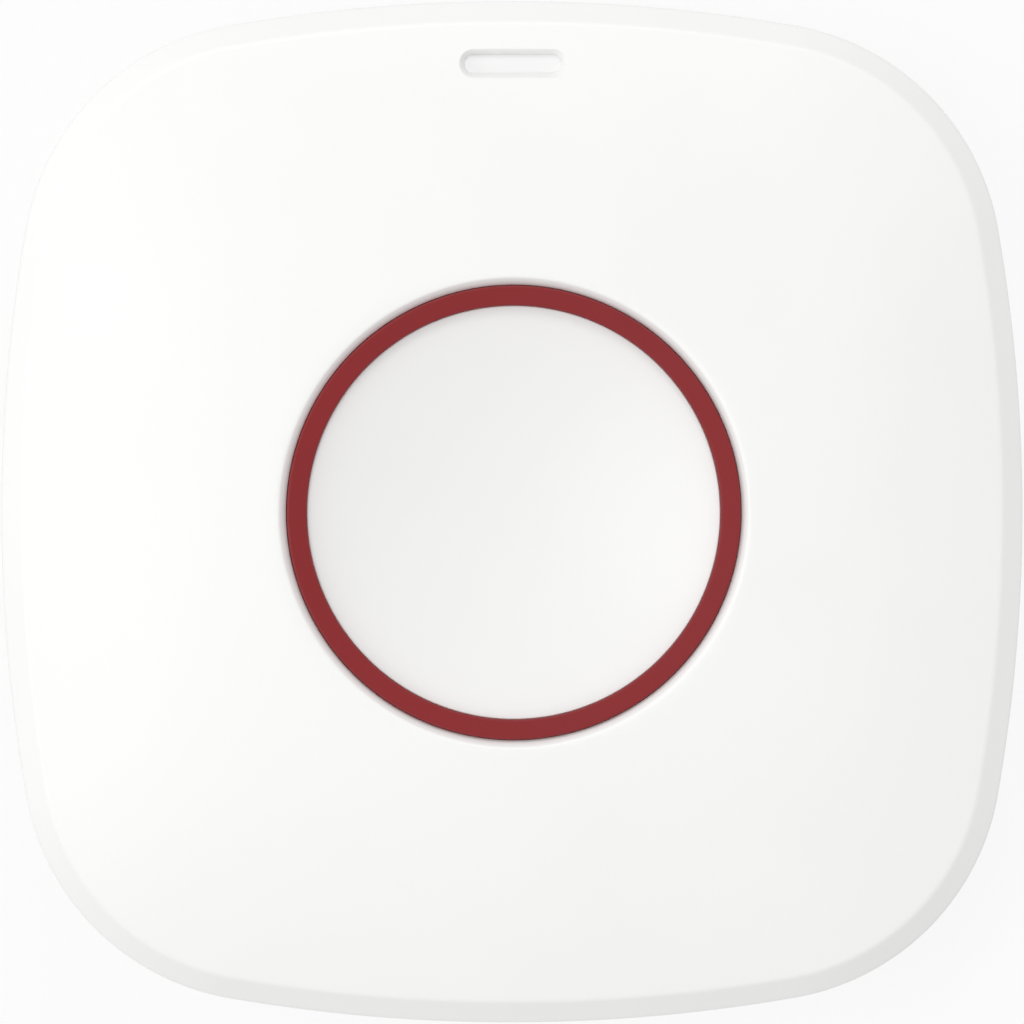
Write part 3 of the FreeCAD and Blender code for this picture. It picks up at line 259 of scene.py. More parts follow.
def skin(name: str, points: np.ndarray, worn: np.ndarray, closed: bool = True) -> bpy.types.Object:
    """Quad mesh over a grid whose columns close on themselves.

    Args:
        name: Name of the piece.
        points: Grid of rows x columns x 3.
        worn: Edge mask of each row.
        closed: Whether the last row joins the first; else a fan closes each end.

    Returns:
        The piece.
    """
    rows, columns = points.shape[:2]
    number = np.arange(rows * columns).reshape(rows, columns)
    low = number if closed else number[:-1]
    high = np.roll(number, -1, axis=0) if closed else number[1:]
    quads = np.stack([low, np.roll(low, -1, axis=1), np.roll(high, -1, axis=1), high], axis=2)
    fans = np.empty((0, 3), dtype=int)
    spots, mask = points.reshape(-1, 3), np.repeat(worn, columns)
    if not closed:
        first, last = number[0], number[-1]
        pole = np.full(columns, rows * columns)
        fans = np.concatenate([np.stack([np.roll(first, -1), first, pole], axis=1),
                               np.stack([last, np.roll(last, -1), pole + 1], axis=1)])
        spots = np.concatenate([spots, points[0].mean(axis=0)[None], points[-1].mean(axis=0)[None]])
        mask = np.concatenate([mask, [0.0, 0.0]])
    return new_piece(name, spots, quads.reshape(-1, 4), fans, mask)


def lathe(name: str, rows: np.ndarray, closed: bool = False, columns: int = 360,
          centre: tuple[float, float] = (0.0, 0.0)) -> bpy.types.Object:
    """Turned piece or swept ring from a section with rounded corners.

    Args:
        name: Name of the piece.
        rows: Section rows with their roundings.
        closed: Whether the section closes on itself and stays off the axis.
        columns: Columns round the axis.
        centre: Place of the axis in millimetres.

    Returns:
        The piece.
    """
    section, worn = softened(rows)
    points = swept_points(section, columns) + np.array([centre[0], centre[1], 0.0]) * MM
    return skin(name, points, worn, closed)


def stack(name: str, rings: list[np.ndarray]) -> bpy.types.Object:
    """Solid through stacked outlines of equally many points."""
    return skin(name, np.array(rings), np.zeros(len(rings)), closed=False)


def block(name: str, low: tuple[float, float, float], high: tuple[float, float, float],
          turn: float = 0.0) -> bpy.types.Object:
    """Box between two corners, turned about the axis.

    Args:
        name: Name of the solid.
        low: Lowest corner in millimetres.
        high: Highest corner.
        turn: Angle in degrees.

    Returns:
        The solid.
    """
    cos, sin = math.cos(math.radians(turn)), math.sin(math.radians(turn))
    flat = rectangle(low[:2], high[:2]) @ np.array([[cos, sin], [-sin, cos]])
    return stack(name, [lifted(flat, level) for level in (low[2], high[2])])


def plate(name: str, outline: list[tuple[float, float]], thickness: float,
          turn: float) -> bpy.types.Object:
    """Upright plate on a line out from the axis.

    Args:
        name: Name of the solid.
        outline: Corners as distance from the axis and level, in millimetres.
        thickness: Thickness.
        turn: Direction of the line in degrees.

    Returns:
        The solid.
    """
    reach, level = np.array(outline).T
    cos, sin = math.cos(math.radians(turn)), math.sin(math.radians(turn))
    sides = [np.column_stack([reach * cos - side * sin, reach * sin + side * cos, level]) * MM
             for side in (-thickness / 2, thickness / 2)]
    return stack(name, sides)


def post(name: str, radius: float, low: float, high: float, centre: tuple[float, float],
         columns: int = 64) -> bpy.types.Object:
    """Upright cylinder between two levels, whose end faces start at a ninth of its radius."""
    rows = circle_rows((radius / 9, low), (radius, low), (radius, high), (radius / 9, high))
    return lathe(name, rows, columns=columns, centre=centre)


def carve(piece: bpy.types.Object, tools: list[bpy.types.Object], carving: Carving) -> None:
    """Adds solids to a piece or cuts them out of it, and removes them.

    Args:
        piece: Piece to change.
        tools: Closed solids.
        carving: Whether to add or to cut.
    """
    group = bpy.data.collections.new("tools")
    for tool in tools:
        group.objects.link(tool)
    change = piece.modifiers.new("carve", "BOOLEAN")
    change.operation = carving.value
    change.solver = "MANIFOLD"
    change.operand_type = "COLLECTION"
    change.collection = group
    seen = piece.evaluated_get(bpy.context.evaluated_depsgraph_get())
    mesh = bpy.data.meshes.new_from_object(seen)
    piece.modifiers.clear()
    piece.data = mesh
    for tool in tools:
        bpy.data.objects.remove(tool)
    bpy.data.collections.remove(group)
    smooth(piece)


def finished(piece: bpy.types.Object, slot: str, body: str, finishes: dict[str, bpy.types.Material],
             node: str) -> bpy.types.Object:
    """Gives a piece its finish, sets it on its body and lets it stand for a solid.

    Args:
        piece: The piece.
        slot: Material slot of the record.
        body: Body that carries it.
        finishes: Finishes by slot.
        node: Solid that it replaces.

    Returns:
        The piece.
    """
    piece.data.materials.clear()
    piece.data.materials.append(finishes[slot])
    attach(piece, body)
    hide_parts(node)
    return piece


# shader nodes

# numbers of the Mix node's two colour inputs and of its colour output
MIX_FIRST = 6
MIX_SECOND = 7
MIX_RESULT = 2
# what an input can be fed: another node's output, or a value
Feed = bpy.types.NodeSocket | float | tuple[float, ...]


def feed(tree: bpy.types.NodeTree, socket: bpy.types.NodeSocket, value: Feed) -> None:
    """Links an input to another node's output, or sets it to a value.

    Args:
        tree: Tree of the node.
        socket: The input.
        value: Output to link, or value to set.
    """
    if isinstance(value, bpy.types.NodeSocket):
        tree.links.new(value, socket)
    else:
        socket.default_value = value


def new_node(tree: bpy.types.NodeTree, kind: str, **values: Feed) -> bpy.types.Node:
    """Adds a node and feeds its inputs.

    Args:
        tree: Tree of a material, a world or a group.
        kind: Type of the node, without "ShaderNode" before it.
        values: Output or value by the input's name, with underscores for its spaces.

    Returns:
        The node.
    """
    node = tree.nodes.new(f"ShaderNode{kind}")
    for name, value in values.items():
        feed(tree, node.inputs[name.replace("_", " ")], value)
    return node


def worked_out(tree: bpy.types.NodeTree, operation: str, *terms: Feed) -> bpy.types.NodeSocket:
    """Result of a Math node.

    Args:
        tree: Tree of a material, a world or a group.
        operation: Blender's name of the operation.
        terms: Its terms, in order.

    Returns:
        The node's output.
    """
    node = new_node(tree, "Math")
    node.operation = operation
    for socket, term in zip(node.inputs, terms):
        feed(tree, socket, term)
    return node.outputs[0]


def mixed(tree: bpy.types.NodeTree, share: Feed, first: Feed, second: Feed) -> bpy.types.NodeSocket:
    """Colour between two colours.

    Args:
        tree: Tree of a material.
        share: Share of the second colour.
        first: First colour.
        second: Second colour.

    Returns:
        The mixed colour.
    """
    node = new_node(tree, "Mix")
    node.data_type = "RGBA"
    feed(tree, node.inputs["Factor"], share)
    feed(tree, node.inputs[MIX_FIRST], first)
    feed(tree, node.inputs[MIX_SECOND], second)
    return node.outputs[MIX_RESULT]


# shared effects


class Effect(Enum):
    """Shader groups that more than one finish uses."""

    GRAIN = "moulded_grain"
    HANDLING = "handling_marks"
    WEAR = "edge_wear"
    BRUSH = "drawn_lines"


def new_group(effect: Effect, output: str) -> tuple[bpy.types.NodeTree, bpy.types.NodeSocket,
                                                    bpy.types.NodeSocket]:
    """Empty shader group with an input for the scale of its pattern and one output.

    Args:
        effect: Which shared effect the group makes.
        output: Name of the output.

    Returns:
        The group, its scale and the Object coordinates.
    """
    tree = bpy.data.node_groups.new(effect.value, "ShaderNodeTree")
    tree.interface.new_socket(name="Scale", in_out="INPUT", socket_type="NodeSocketFloat")
    tree.interface.new_socket(name=output, in_out="OUTPUT", socket_type="NodeSocketFloat")
    scale = tree.nodes.new("NodeGroupInput").outputs["Scale"]
    tree.nodes.new("NodeGroupOutput")
    return tree, scale, new_node(tree, "TexCoord").outputs["Object"]


def put_out(tree: bpy.types.NodeTree, value: bpy.types.NodeSocket) -> bpy.types.NodeTree:
    """Links a value to a group's output and returns the group."""
    feed(tree, tree.nodes["Group Output"].inputs[0], value)
    return tree


def grain_group(finer: float = 2.7, share: float = 0.5) -> bpy.types.NodeTree:
    """Height of a spark-eroded mould texture: noise plus a share of finer noise.

    Args:
        finer: Scale of the finer noise by the scale of the first.
        share: Share of the finer noise.

    Returns:
        The group.
    """
    tree, scale, place = new_group(Effect.GRAIN, "Height")
    fine_scale = worked_out(tree, "MULTIPLY", scale, finer)
    first, second = (new_node(tree, "TexNoise", Vector=place, Scale=size, Detail=3.0).outputs["Fac"]
                     for size in (scale, fine_scale))
    return put_out(tree, worked_out(tree, "MULTIPLY_ADD", second, share, first))


def handling_group(clean: float = 0.38, handled: float = 0.66) -> bpy.types.NodeTree:
    """Mask of faint patches where hands have polished or greased a surface.

    Args:
        clean: Level of the noise where the mask is 0.
        handled: Level of the noise where it is 1.

    Returns:
        The group.
    """
    tree, scale, place = new_group(Effect.HANDLING, "Mask")
    noise = new_node(tree, "TexNoise", Vector=place, Scale=scale, Detail=5.0, Distortion=0.6)
    spread = new_node(tree, "MapRange", Value=noise.outputs["Fac"], From_Min=clean, From_Max=handled)
    return put_out(tree, spread.outputs["Result"])


def wear_group() -> bpy.types.NodeTree:
    """Mask of rounded edges: the pieces' edge attribute times noise.

    Returns:
        The group.
    """
    tree, scale, place = new_group(Effect.WEAR, "Mask")
    edge = new_node(tree, "Attribute")
    edge.attribute_name = EDGE_MASK
    noise = new_node(tree, "TexNoise", Vector=place, Scale=scale)
    return put_out(tree, worked_out(tree, "MULTIPLY", edge.outputs["Fac"], noise.outputs["Fac"]))


def brush_group(stretch: float = 40.0) -> bpy.types.NodeTree:
    """Height of fine drawn lines: noise stretched along X.

    Args:
        stretch: Length of the noise along X by its width.

    Returns:
        The group.
    """
    tree, scale, place = new_group(Effect.BRUSH, "Height")
    drawn = new_node(tree, "Mapping", Vector=place, Scale=(1 / stretch, 1.0, 1.0)).outputs["Vector"]
    noise = new_node(tree, "TexNoise", Vector=drawn, Scale=scale, Detail=4.0)
    return put_out(tree, noise.outputs["Fac"])


def shared_effects() -> dict[Effect, bpy.types.NodeTree]:
    """Shader group of each shared effect, built once."""
    return {Effect.GRAIN: grain_group(), Effect.HANDLING: handling_group(), Effect.WEAR: wear_group(),
            Effect.BRUSH: brush_group()}


# finishes


def linear(level: float) -> float:
    """Scene-linear value of one display level from 0 to 1, by the sRGB curve."""
    return level / 12.92 if level <= 0.04045 else ((level + 0.055) / 1.055) ** 2.4


@dataclass(frozen=True)
class Finish:
    """Finish of one material slot.

    Attributes:
        slot: The record's material slot.
        color: Display colour, each part from 0 to 1.
        roughness: Middle roughness.
        spread: How far handling marks change the roughness.
        grain: Bump distance of the surface texture in micrometres.
        grain_scale: Scale of the surface texture.
        shade: How much darker the handled patches are.
        worn: How much lighter the edges are.
        metallic: 1 for metals.
        texture: The surface texture, grain or drawn lines.
        gloss: Level of the mirror reflection; 0.5 is plain plastic.
        coat: Clear-coat weight.
        transmission: Share of light that passes through.
        patch_scale: Scale of the handling marks.
        edge_scale: Scale of the noise that breaks up the worn edges.
        coat_roughness: Roughness of the clear coat.
        bump: Strength of the bump.
    """

    slot: str
    color: tuple[float, float, float]
    roughness: float = 0.45
    spread: float = 0.08
    grain: float = 2.0
    grain_scale: float = 3000.0
    shade: float = 0.03
    worn: float = 0.1
    metallic: float = 0.0
    texture: Effect = Effect.GRAIN
    gloss: float = 0.5
    coat: float = 0.0
    transmission: float = 0.0
    patch_scale: float = 70.0
    edge_scale: float = 900.0
    coat_roughness: float = 0.12
    bump: float = 0.6

    def build(self, effects: dict[Effect, bpy.types.NodeTree]) -> bpy.types.Material:
        """Makes the material: colour and roughness from masks, and a bump from the texture.

        Args:
            effects: Shader group of each shared effect.

        Returns:
            The material.
        """
        material = bpy.data.materials.new(f"{self.slot}_finish")
        material.use_nodes = True
        tree = material.node_tree
        shader = tree.nodes["Principled BSDF"]
        shader.inputs["Metallic"].default_value = self.metallic
        shader.inputs["Specular IOR Level"].default_value = self.gloss
        shader.inputs["Coat Weight"].default_value = self.coat
        shader.inputs["Coat Roughness"].default_value = self.coat_roughness
        shader.inputs["Transmission Weight"].default_value = self.transmission
        handled = self.placed(tree, effects[Effect.HANDLING], self.patch_scale)
        worn = self.placed(tree, effects[Effect.WEAR], self.edge_scale)
        height = self.placed(tree, effects[self.texture], self.grain_scale)
        base = [linear(part) for part in self.color]
        darker = [part * (1 - self.shade) for part in base]
        lighter = [part + self.worn * (1 - part) for part in base]
        patches = mixed(tree, handled, (*base, 1.0), (*darker, 1.0))
        feed(tree, shader.inputs["Base Color"], mixed(tree, worn, patches, (*lighter, 1.0)))
        polish = new_node(tree, "MapRange", Value=handled, To_Min=self.roughness + self.spread / 2,
                          To_Max=self.roughness - self.spread / 2)
        feed(tree, shader.inputs["Roughness"], polish.outputs["Result"])
        relief = new_node(tree, "Bump", Strength=self.bump, Distance=self.grain * MICRON, Height=height)
        feed(tree, shader.inputs["Normal"], relief.outputs["Normal"])
        return material

    @staticmethod
    def placed(tree: bpy.types.NodeTree, group: bpy.types.NodeTree,
               scale: float) -> bpy.types.NodeSocket:
        """Places a shared effect in a material.

        Args:
            tree: Tree of the material.
            group: The effect's group.
            scale: Scale of its pattern.

        Returns:
            The effect's output.
        """
        node = tree.nodes.new("ShaderNodeGroup")
        node.node_tree = group
        node.inputs["Scale"].default_value = scale
        return node.outputs[0]


FINISHES = (
    Finish("white_housing", (0.95, 0.95, 0.945), roughness=0.42, shade=0.012, worn=0.2, grain=1.2),
    Finish("white_cap", (0.93, 0.93, 0.925), roughness=0.38, shade=0.012, worn=0.2, grain=1.0),
    Finish("red_ring", (0.515, 0.12, 0.135), roughness=0.5, shade=0.06, worn=0.02, grain=1.5,
           gloss=0.25),
    Finish("clear_window", (0.925, 0.925, 0.925), roughness=0.34, spread=0.05, shade=0.0, grain=0.5),
    Finish("carrier_plastic", (0.78, 0.78, 0.78), roughness=0.5),
    Finish("seal_rubber", (0.12, 0.12, 0.12), roughness=0.8, grain=6.0, worn=0.05),
    Finish("membrane_silicone", (0.64, 0.66, 0.68), roughness=0.6, grain=3.0),
    Finish("board_laminate", (0.08, 0.33, 0.18), roughness=0.32, grain=3.0, grain_scale=1500.0,
           shade=0.2, coat=0.4),
    Finish("black_moulding", (0.09, 0.09, 0.095), roughness=0.55, grain=3.0),
    Finish("steel_plate", (0.80, 0.80, 0.80), roughness=0.3, metallic=1.0, texture=Effect.BRUSH,
           grain=1.5, shade=0.1),
    Finish("screw_steel", (0.72, 0.73, 0.75), roughness=0.34, metallic=1.0, grain=2.0, shade=0.15),
    Finish("cell_steel", (0.82, 0.82, 0.83), roughness=0.24, metallic=1.0, texture=Effect.BRUSH,
           grain=0.8),
    Finish("contact_alloy", (0.86, 0.75, 0.52), roughness=0.28, metallic=1.0, texture=Effect.BRUSH,
           grain=1.0),
    Finish("chip_ceramic", (0.60, 0.50, 0.39), roughness=0.5, grain=4.0),
    Finish("lamp_resin", (0.93, 0.91, 0.84), roughness=0.2, grain=0.5, transmission=0.3),
)


# sub-assemblies


@dataclass
class Housing:
    """What both halves share: the rounded-square outline, the joint, the wall and the screws."""

    width: float = 62.0
    side_arc: float = 100.0
    corner_arc: float = 15.1
    parting: float = 9.6
    inner_inset: float = 2.65
    screw_offset: float = 20.6
    boss: float = 3.0
    boss_joint: float = 9.0
    columns: int = 640

    def row(self, inset: float, level: float, rounding: float = 0.0) -> list[float]:
        """Section row on the outline set in by a distance."""
        return [self.width / 2 - inset, self.side_arc - inset, self.corner_arc - inset, level, rounding]

    def screw_places(self) -> list[tuple[float, float]]:
        """Places of the four case screws."""
        return mirrored(self.screw_offset, self.screw_offset)

    def screw_reach(self) -> float:
        """Distance of the case screws from the axis."""
        return self.screw_offset * math.sqrt(2)


@dataclass
class FrontCover(Housing):
    """Front half of the housing: skirt, sloping band, domed face, bore and indicator slot."""

    band_foot: float = 12.7
    band_top: float = 13.9
    band_width: float = 1.3
    wall: float = 1.6
    seal_top: float = 11.5
    joint_edge: float = 0.05
    skirt_edge: float = 0.14
    band_edge: float = 0.2
    # dome
    rim: float = 16.3
    dome_lean: float = 0.4
    dome_curve: float = 2.4
    dome_inner: float = 13.17
    dome_inner_side: float = 13.73
    dome_inner_corner: float = 12.77
    dome_end: float = 0.92
    dome_rows: int = 46
    # bore, with a collar that reaches down round the button
    bore: float = 13.79
    bore_bevel: float = 0.47
    bevel_start: float = 0.085
    bevel_end: float = 0.56
    bore_edge: float = 0.12
    bevel_edge: float = 0.05
    collar: float = 15.47
    collar_foot: float = 13.05
    collar_root: float = 0.1
    # ribs and keys
    rib_foot: float = 11.7
    rib_width: float = 0.9
    rib_play: float = 0.3
    rib_overlap: float = 0.5
    rib_rise: float = 0.1
    key_half: float = 1.0
    key_reach: float = 1.0
    key_inset: float = 0.01
    key_foot: float = 11.75
    key_top: float = 13.8
    # indicator slot and the window's seat behind it
    slot_centre: float = 27.2
    slot_length: float = 6.55
    slot_width: float = 1.76
    slot_slope: float = 0.32
    slot_depth: float = 0.64
    slot_curve: float = 1.3
    slot_lip: float = 0.02
    slot_through: float = 3.0
    cutter_rise: float = 0.6
    cutter_flare: float = 1.4
    seat_half: float = 4.3
    seat_below: float = 1.52
    seat_above: float = 0.88
    seat_top: float = 13.22
    # pilot holes
    pilot: float = 1.14
    pilot_foot: float = 8.5
    pilot_top: float = 12.8

    def fall(self, rest: np.ndarray | float) -> np.ndarray | float:
        """Share of the dome's rise that is missing at v: lean v + (1 - lean) v^curve."""
        return self.dome_lean * rest + (1 - self.dome_lean) * rest ** self.dome_curve

    def dome(self) -> np.ndarray:
        """Section rows of the dome, from its rim towards the bore.

        With u from 0 at the band to 1 at the bore and v = 1 - u, each outline size runs in a
        straight line from the inset outline to the bore, and the level is rim - rise fall(v).

        Returns:
            The rows.
        """
        share = np.linspace(0, self.dome_end, self.dome_rows)
        rest = 1 - share
        inner = np.array([self.dome_inner, self.dome_inner_side, self.dome_inner_corner, 0.0, 0.0])
        rows = rest[:, None] * np.array(self.row(self.band_width, 0.0)) + share[:, None] * inner
        rows[:, 3] = self.rim - (self.rim - self.band_top) * self.fall(rest)
        rows[0, 4] = self.band_edge
        return rows

    def slot_surface(self) -> tuple[float, float]:
        """Height of the dome over the slot's middle, and its rise along Y there.

        The rise along Y is the level's own slope: -rise (lean + (1 - lean) curve v^(curve - 1))
        divided by the dome's reach.

        Returns:
            Height and rise.
        """
        reach = self.width / 2 - self.band_width - self.dome_inner
        rest = (self.slot_centre - self.dome_inner) / reach
        rise = self.rim - self.band_top
        bent = (1 - self.dome_lean) * self.dome_curve * rest ** (self.dome_curve - 1)
        return self.rim - rise * self.fall(rest), -rise * (self.dome_lean + bent) / reach

    def slot_ring(self, depth: float, grow: float) -> np.ndarray:
        """Outline of the slot at a depth below the dome, grown on every side."""
        surface, lean = self.slot_surface()
        return stadium_ring(self.slot_length + 2 * grow, self.slot_width + 2 * grow, surface - depth,
                            (0.0, self.slot_centre), slope=lean)

    def build(self) -> bpy.types.Object:
        """One closed section carried round, with the inner parts added and the openings cut.

        Returns:
            The cover.
        """
        foot = [self.row(self.wall, self.parting, self.joint_edge),
                self.row(0, self.parting, self.skirt_edge), self.row(0, self.band_foot, self.band_edge)]
        throat = circle_rows((self.bore + self.bore_bevel, self.rim - self.bevel_start, self.bore_edge),
                             (self.bore, self.rim - self.bevel_end, self.bevel_edge),
                             (self.bore, self.collar_foot, self.bore_edge),
                             (self.collar, self.collar_foot, self.bore_edge),
                             (self.collar, self.rim - self.wall, self.collar_root))
        inside = [self.row(self.inner_inset, self.band_top - self.wall),
                  self.row(self.inner_inset, self.seal_top), self.row(self.wall, self.seal_top)]
        section, worn = softened(np.concatenate([foot, self.dome(), throat, inside]))
        piece = skin("front_cover_skin", swept_points(section, self.columns), worn)
        carve(piece, self.added(), Carving.ADD)
        carve(piece, self.openings(), Carving.CUT)
        return piece

    def added(self) -> list[bpy.types.Object]:
        """Screw bosses, ribs to the collar, and the keys that keep the button from turning.

        Returns:
            The solids.
        """
        bosses = [post("boss", self.boss, self.boss_joint, self.band_top, spot)
                  for spot in self.screw_places()]
        end = self.screw_reach()
        rib = [(self.collar + self.rib_play, self.rib_foot), (end, self.rib_foot), (end, self.band_top),
               (self.collar - self.rib_overlap, self.rim - self.wall / 2),
               (self.collar - self.rib_overlap, self.collar_foot + self.rib_rise)]
        ribs = [plate("rib", rib, self.rib_width, turn) for turn in DIAGONALS]
        keys = [block("key", (self.collar - self.key_reach, -self.key_half, self.key_foot),
                      (self.collar - self.key_inset, self.key_half, self.key_top), turn)
                for turn in THIRDS]
        return bosses + ribs + keys

    def openings(self) -> list[bpy.types.Object]:
        """Pilot holes, the window's seat and the slot, whose wall slopes out to the surface.

        At a depth of slot_depth s^curve the slot is narrower all round by slope s, with s from 0 to
        1. Above the surface the cutter widens, to clear the dome.

        Returns:
            The solids.
        """
        holes = [post("pilot", self.pilot, self.pilot_foot, self.pilot_top, spot)
                 for spot in self.screw_places()]
        seat = block("seat", (-self.seat_half, self.slot_centre - self.seat_below, self.seal_top),
                     (self.seat_half, self.slot_centre + self.seat_above, self.seat_top))
        rings = [self.slot_ring(self.slot_through, -self.slot_slope)]
        rings += [self.slot_ring(self.slot_depth * share ** self.slot_curve, -self.slot_slope * share)
                  for share in (1.0, 0.8, 0.6, 0.4, 0.2)]
        rings += [self.slot_ring(0.0, self.slot_lip),
                  self.slot_ring(-self.cutter_rise, self.cutter_flare)]
        return [*holes, seat, stack("slot_cutter", rings)]

    def dress(self, finishes: dict[str, bpy.types.Material]) -> list[bpy.types.Object]:
        """Builds the cover in its finish."""
        return [finished(self.build(), "white_housing", "housing", finishes, "front_cover")]


@dataclass
class RearCase(Housing):
    """Rear half: tapered tub with rounded foot, battery well, screw wells and keyholes."""

    step: float = 0.25
    taper: float = 0.9
    foot_radius: float = 1.2
    foot_rows: int = 12
    foot_lead: float = 1.15
    floor: float = 1.6
    floor_start: float = 2.0
    lip_top: float = 10.7
    lip_inset: float = 1.75
    skirt_edge: float = 0.12
    joint_edge: float = 0.05
    lip_edge: float = 0.1
    floor_root: float = 0.3
    rib_width: float = 1.0
    # board posts
    post_x: float = 14.0
    post_y: float = 23.6
    post_radius: float = 2.2
    board: float = 8.4
    board_pilot: float = 0.94
    pilot_depth: float = 5.0
    pilot_rise: float = 1.0
    # battery well and the door's seat
    well: float = 17.2
    well_top: float = 4.7
    well_overlap: float = 0.8
    seat_start: float = 1.0
    seat: float = 15.6
    seat_depth: float = 2.2
    ledge: float = 13.7
    ledge_top: float = 3.4
    lug_room: float = 15.02
    lug_turn: float = 45.0
    seat_through: float = 6.0
    notch_start: float = 0.2
    notch_reach: float = 14.5
    notch_half: float = 3.4
    notch_foot: float = 0.5
    notch_top: float = 3.41
    # wells and holes of the case screws
    well_start: float = 0.1
    head_well: float = 2.2
    head_depth: float = 3.0
    shank_hole: float = 1.3
    well_through: float = 10.5
    # keyholes
    keyhole_x: float = 22.5
    keyhole_middle: float = 0.4
    keyhole_head: float = 3.6
    keyhole_head_y: float = -2.6
    keyhole_start: float = 0.2
    keyhole_length: float = 9.8
    keyhole_width: float = 3.8
    keyhole_depth: float = 1.8
    keyhole_mouth: float = 0.1
    keyhole_flare: float = 1.1
    room_margin: float = 3.8
    room_top: float = 3.8
    block_margin: float = 6.0
    block_top: float = 4.9
    # cutters start below the rear face, and widen there to bevel the mouths
    outside: float = -1.0
    mouth: float = 0.12
    flare: float = 1.0

    def tub(self) -> bpy.types.Object:
        """Closed section from the middle of the rear face round the wall to the middle inside.

        Returns:
            The tub.
        """
        wall = self.step + self.taper
        foot = [self.row(wall + self.foot_radius * (1 - math.sin(angle)),
                         self.foot_radius * (1 - math.cos(angle)))
                for angle in np.linspace(0, math.pi / 2, self.foot_rows)]
        below = [*circle_rows((self.floor_start, 0.0)),
                 self.row(wall + self.foot_lead * self.foot_radius, 0.0)]
        above = [self.row(self.step, self.parting, self.skirt_edge),
                 self.row(self.lip_inset, self.parting, self.joint_edge),
                 self.row(self.lip_inset, self.lip_top, self.lip_edge),
                 self.row(self.inner_inset, self.lip_top, self.lip_edge),
                 self.row(self.inner_inset, self.floor, self.floor_root),
                 *circle_rows((self.floor_start, self.floor))]
        section, worn = softened(np.concatenate([below, foot, above]))
        return skin("rear_case_skin", swept_points(section, self.columns), worn, closed=False)

    def keyhole_places(self) -> list[tuple[float, float]]:
        """Middles of the two keyholes."""
        return [(x, self.keyhole_middle) for x in (self.keyhole_x, -self.keyhole_x)]

    def keyhole_ring(self, margin: float, level: float, place: tuple[float, float]) -> np.ndarray:
        """Outline of a keyhole's slot, larger by a margin."""
        return stadium_ring(self.keyhole_length + margin, self.keyhole_width + margin, level, place,
                            upright=True)

    def added(self) -> list[bpy.types.Object]:
        """Battery well, screw bosses, board posts, ribs and keyhole blocks.

        Returns:
            The solids, which all start inside the floor.
        """
        low = self.floor / 2
        well = post("well", self.well, low, self.well_top, (0.0, 0.0), columns=360)
        bosses = [post("boss", self.boss, low, self.boss_joint, spot) for spot in self.screw_places()]
        posts = [post("board_post", self.post_radius, low, self.board, spot)
                 for spot in mirrored(self.post_x, self.post_y)]
        start, end, top = self.well - self.well_overlap, self.screw_reach(), 2 * self.floor
        rib = [(start, low), (end, low), (end, top), (start, top)]
        ribs = [plate("rib", rib, self.rib_width, turn) for turn in DIAGONALS]
        blocks = [stack("keyhole_block", [self.keyhole_ring(self.block_margin, level, place)
                                          for level in (low, self.block_top)])
                  for place in self.keyhole_places()]
        return [well, *bosses, *posts, *ribs, *blocks]

    def door_openings(self) -> list[bpy.types.Object]:
        """Seat of the battery door with its ledge, and the notches that let the lugs in.

        Returns:
            The solids.
        """
        seat = circle_rows((self.seat_start, self.outside), (self.seat + self.flare, self.outside),
                           (self.seat, self.mouth), (self.seat, self.seat_depth),
                           (self.ledge, self.seat_depth), (self.ledge, self.ledge_top),
                           (self.lug_room, self.ledge_top), (self.lug_room, self.seat_through),
                           (self.seat_start, self.seat_through))
        notches = [block("lug_notch", (self.notch_start, -self.notch_half, self.notch_foot),
                         (self.notch_reach, self.notch_half, self.notch_top), turn + self.lug_turn)
                   for turn in THIRDS]
        return [lathe("door_seat", seat), *notches]

    def screw_openings(self) -> list[bpy.types.Object]:
        """Stepped wells of the case screws and pilot holes of the board screws.

        Returns:
            The solids.
        """
        well = circle_rows((self.well_start, self.outside), (self.head_well + self.flare, self.outside),
                           (self.head_well, self.mouth), (self.head_well, self.head_depth),
                           (self.shank_hole, self.head_depth), (self.shank_hole, self.well_through),
                           (self.well_start, self.well_through))
        wells = [lathe("screw_well", well, columns=64, centre=spot) for spot in self.screw_places()]
        low, high = self.board - self.pilot_depth, self.board + self.pilot_rise
        holes = [post("pilot", self.board_pilot, low, high, spot)
                 for spot in mirrored(self.post_x, self.post_y)]
        return wells + holes

    def keyhole_openings(self) -> list[bpy.types.Object]:
        """Keyholes: room for the wall screw's head, the slot and the round entry at its lower end.

        Returns:
            The solids.
        """
        solids = []
        entry = circle_rows((self.keyhole_start, self.outside),
                            (self.keyhole_head + self.keyhole_flare, self.outside),
                            (self.keyhole_head, self.keyhole_mouth),
                            (self.keyhole_head, self.keyhole_depth),
                            (self.keyhole_start, self.keyhole_depth))
        for place in self.keyhole_places():
            solids.append(stack("head_room", [self.keyhole_ring(self.room_margin, level, place)
                                              for level in (self.floor, self.room_top)]))
            slot = [self.keyhole_ring(2 * self.keyhole_flare, self.outside, place)]
            slot += [self.keyhole_ring(0.0, level, place)
                     for level in (self.keyhole_mouth, self.keyhole_depth)]
            solids.append(stack("slot", slot))
            solids.append(lathe("entry", entry, columns=96, centre=(place[0], self.keyhole_head_y)))
        return solids

    def dress(self, finishes: dict[str, bpy.types.Material]) -> list[bpy.types.Object]:
        """Builds the case in its finish.

        Args:
            finishes: Finishes by slot.

        Returns:
            The case.
        """
        piece = self.tub()
        carve(piece, self.added(), Carving.ADD)
        openings = self.door_openings() + self.screw_openings() + self.keyhole_openings()
        carve(piece, openings, Carving.CUT)
        return [finished(piece, "white_housing", "housing", finishes, "rear_case")]


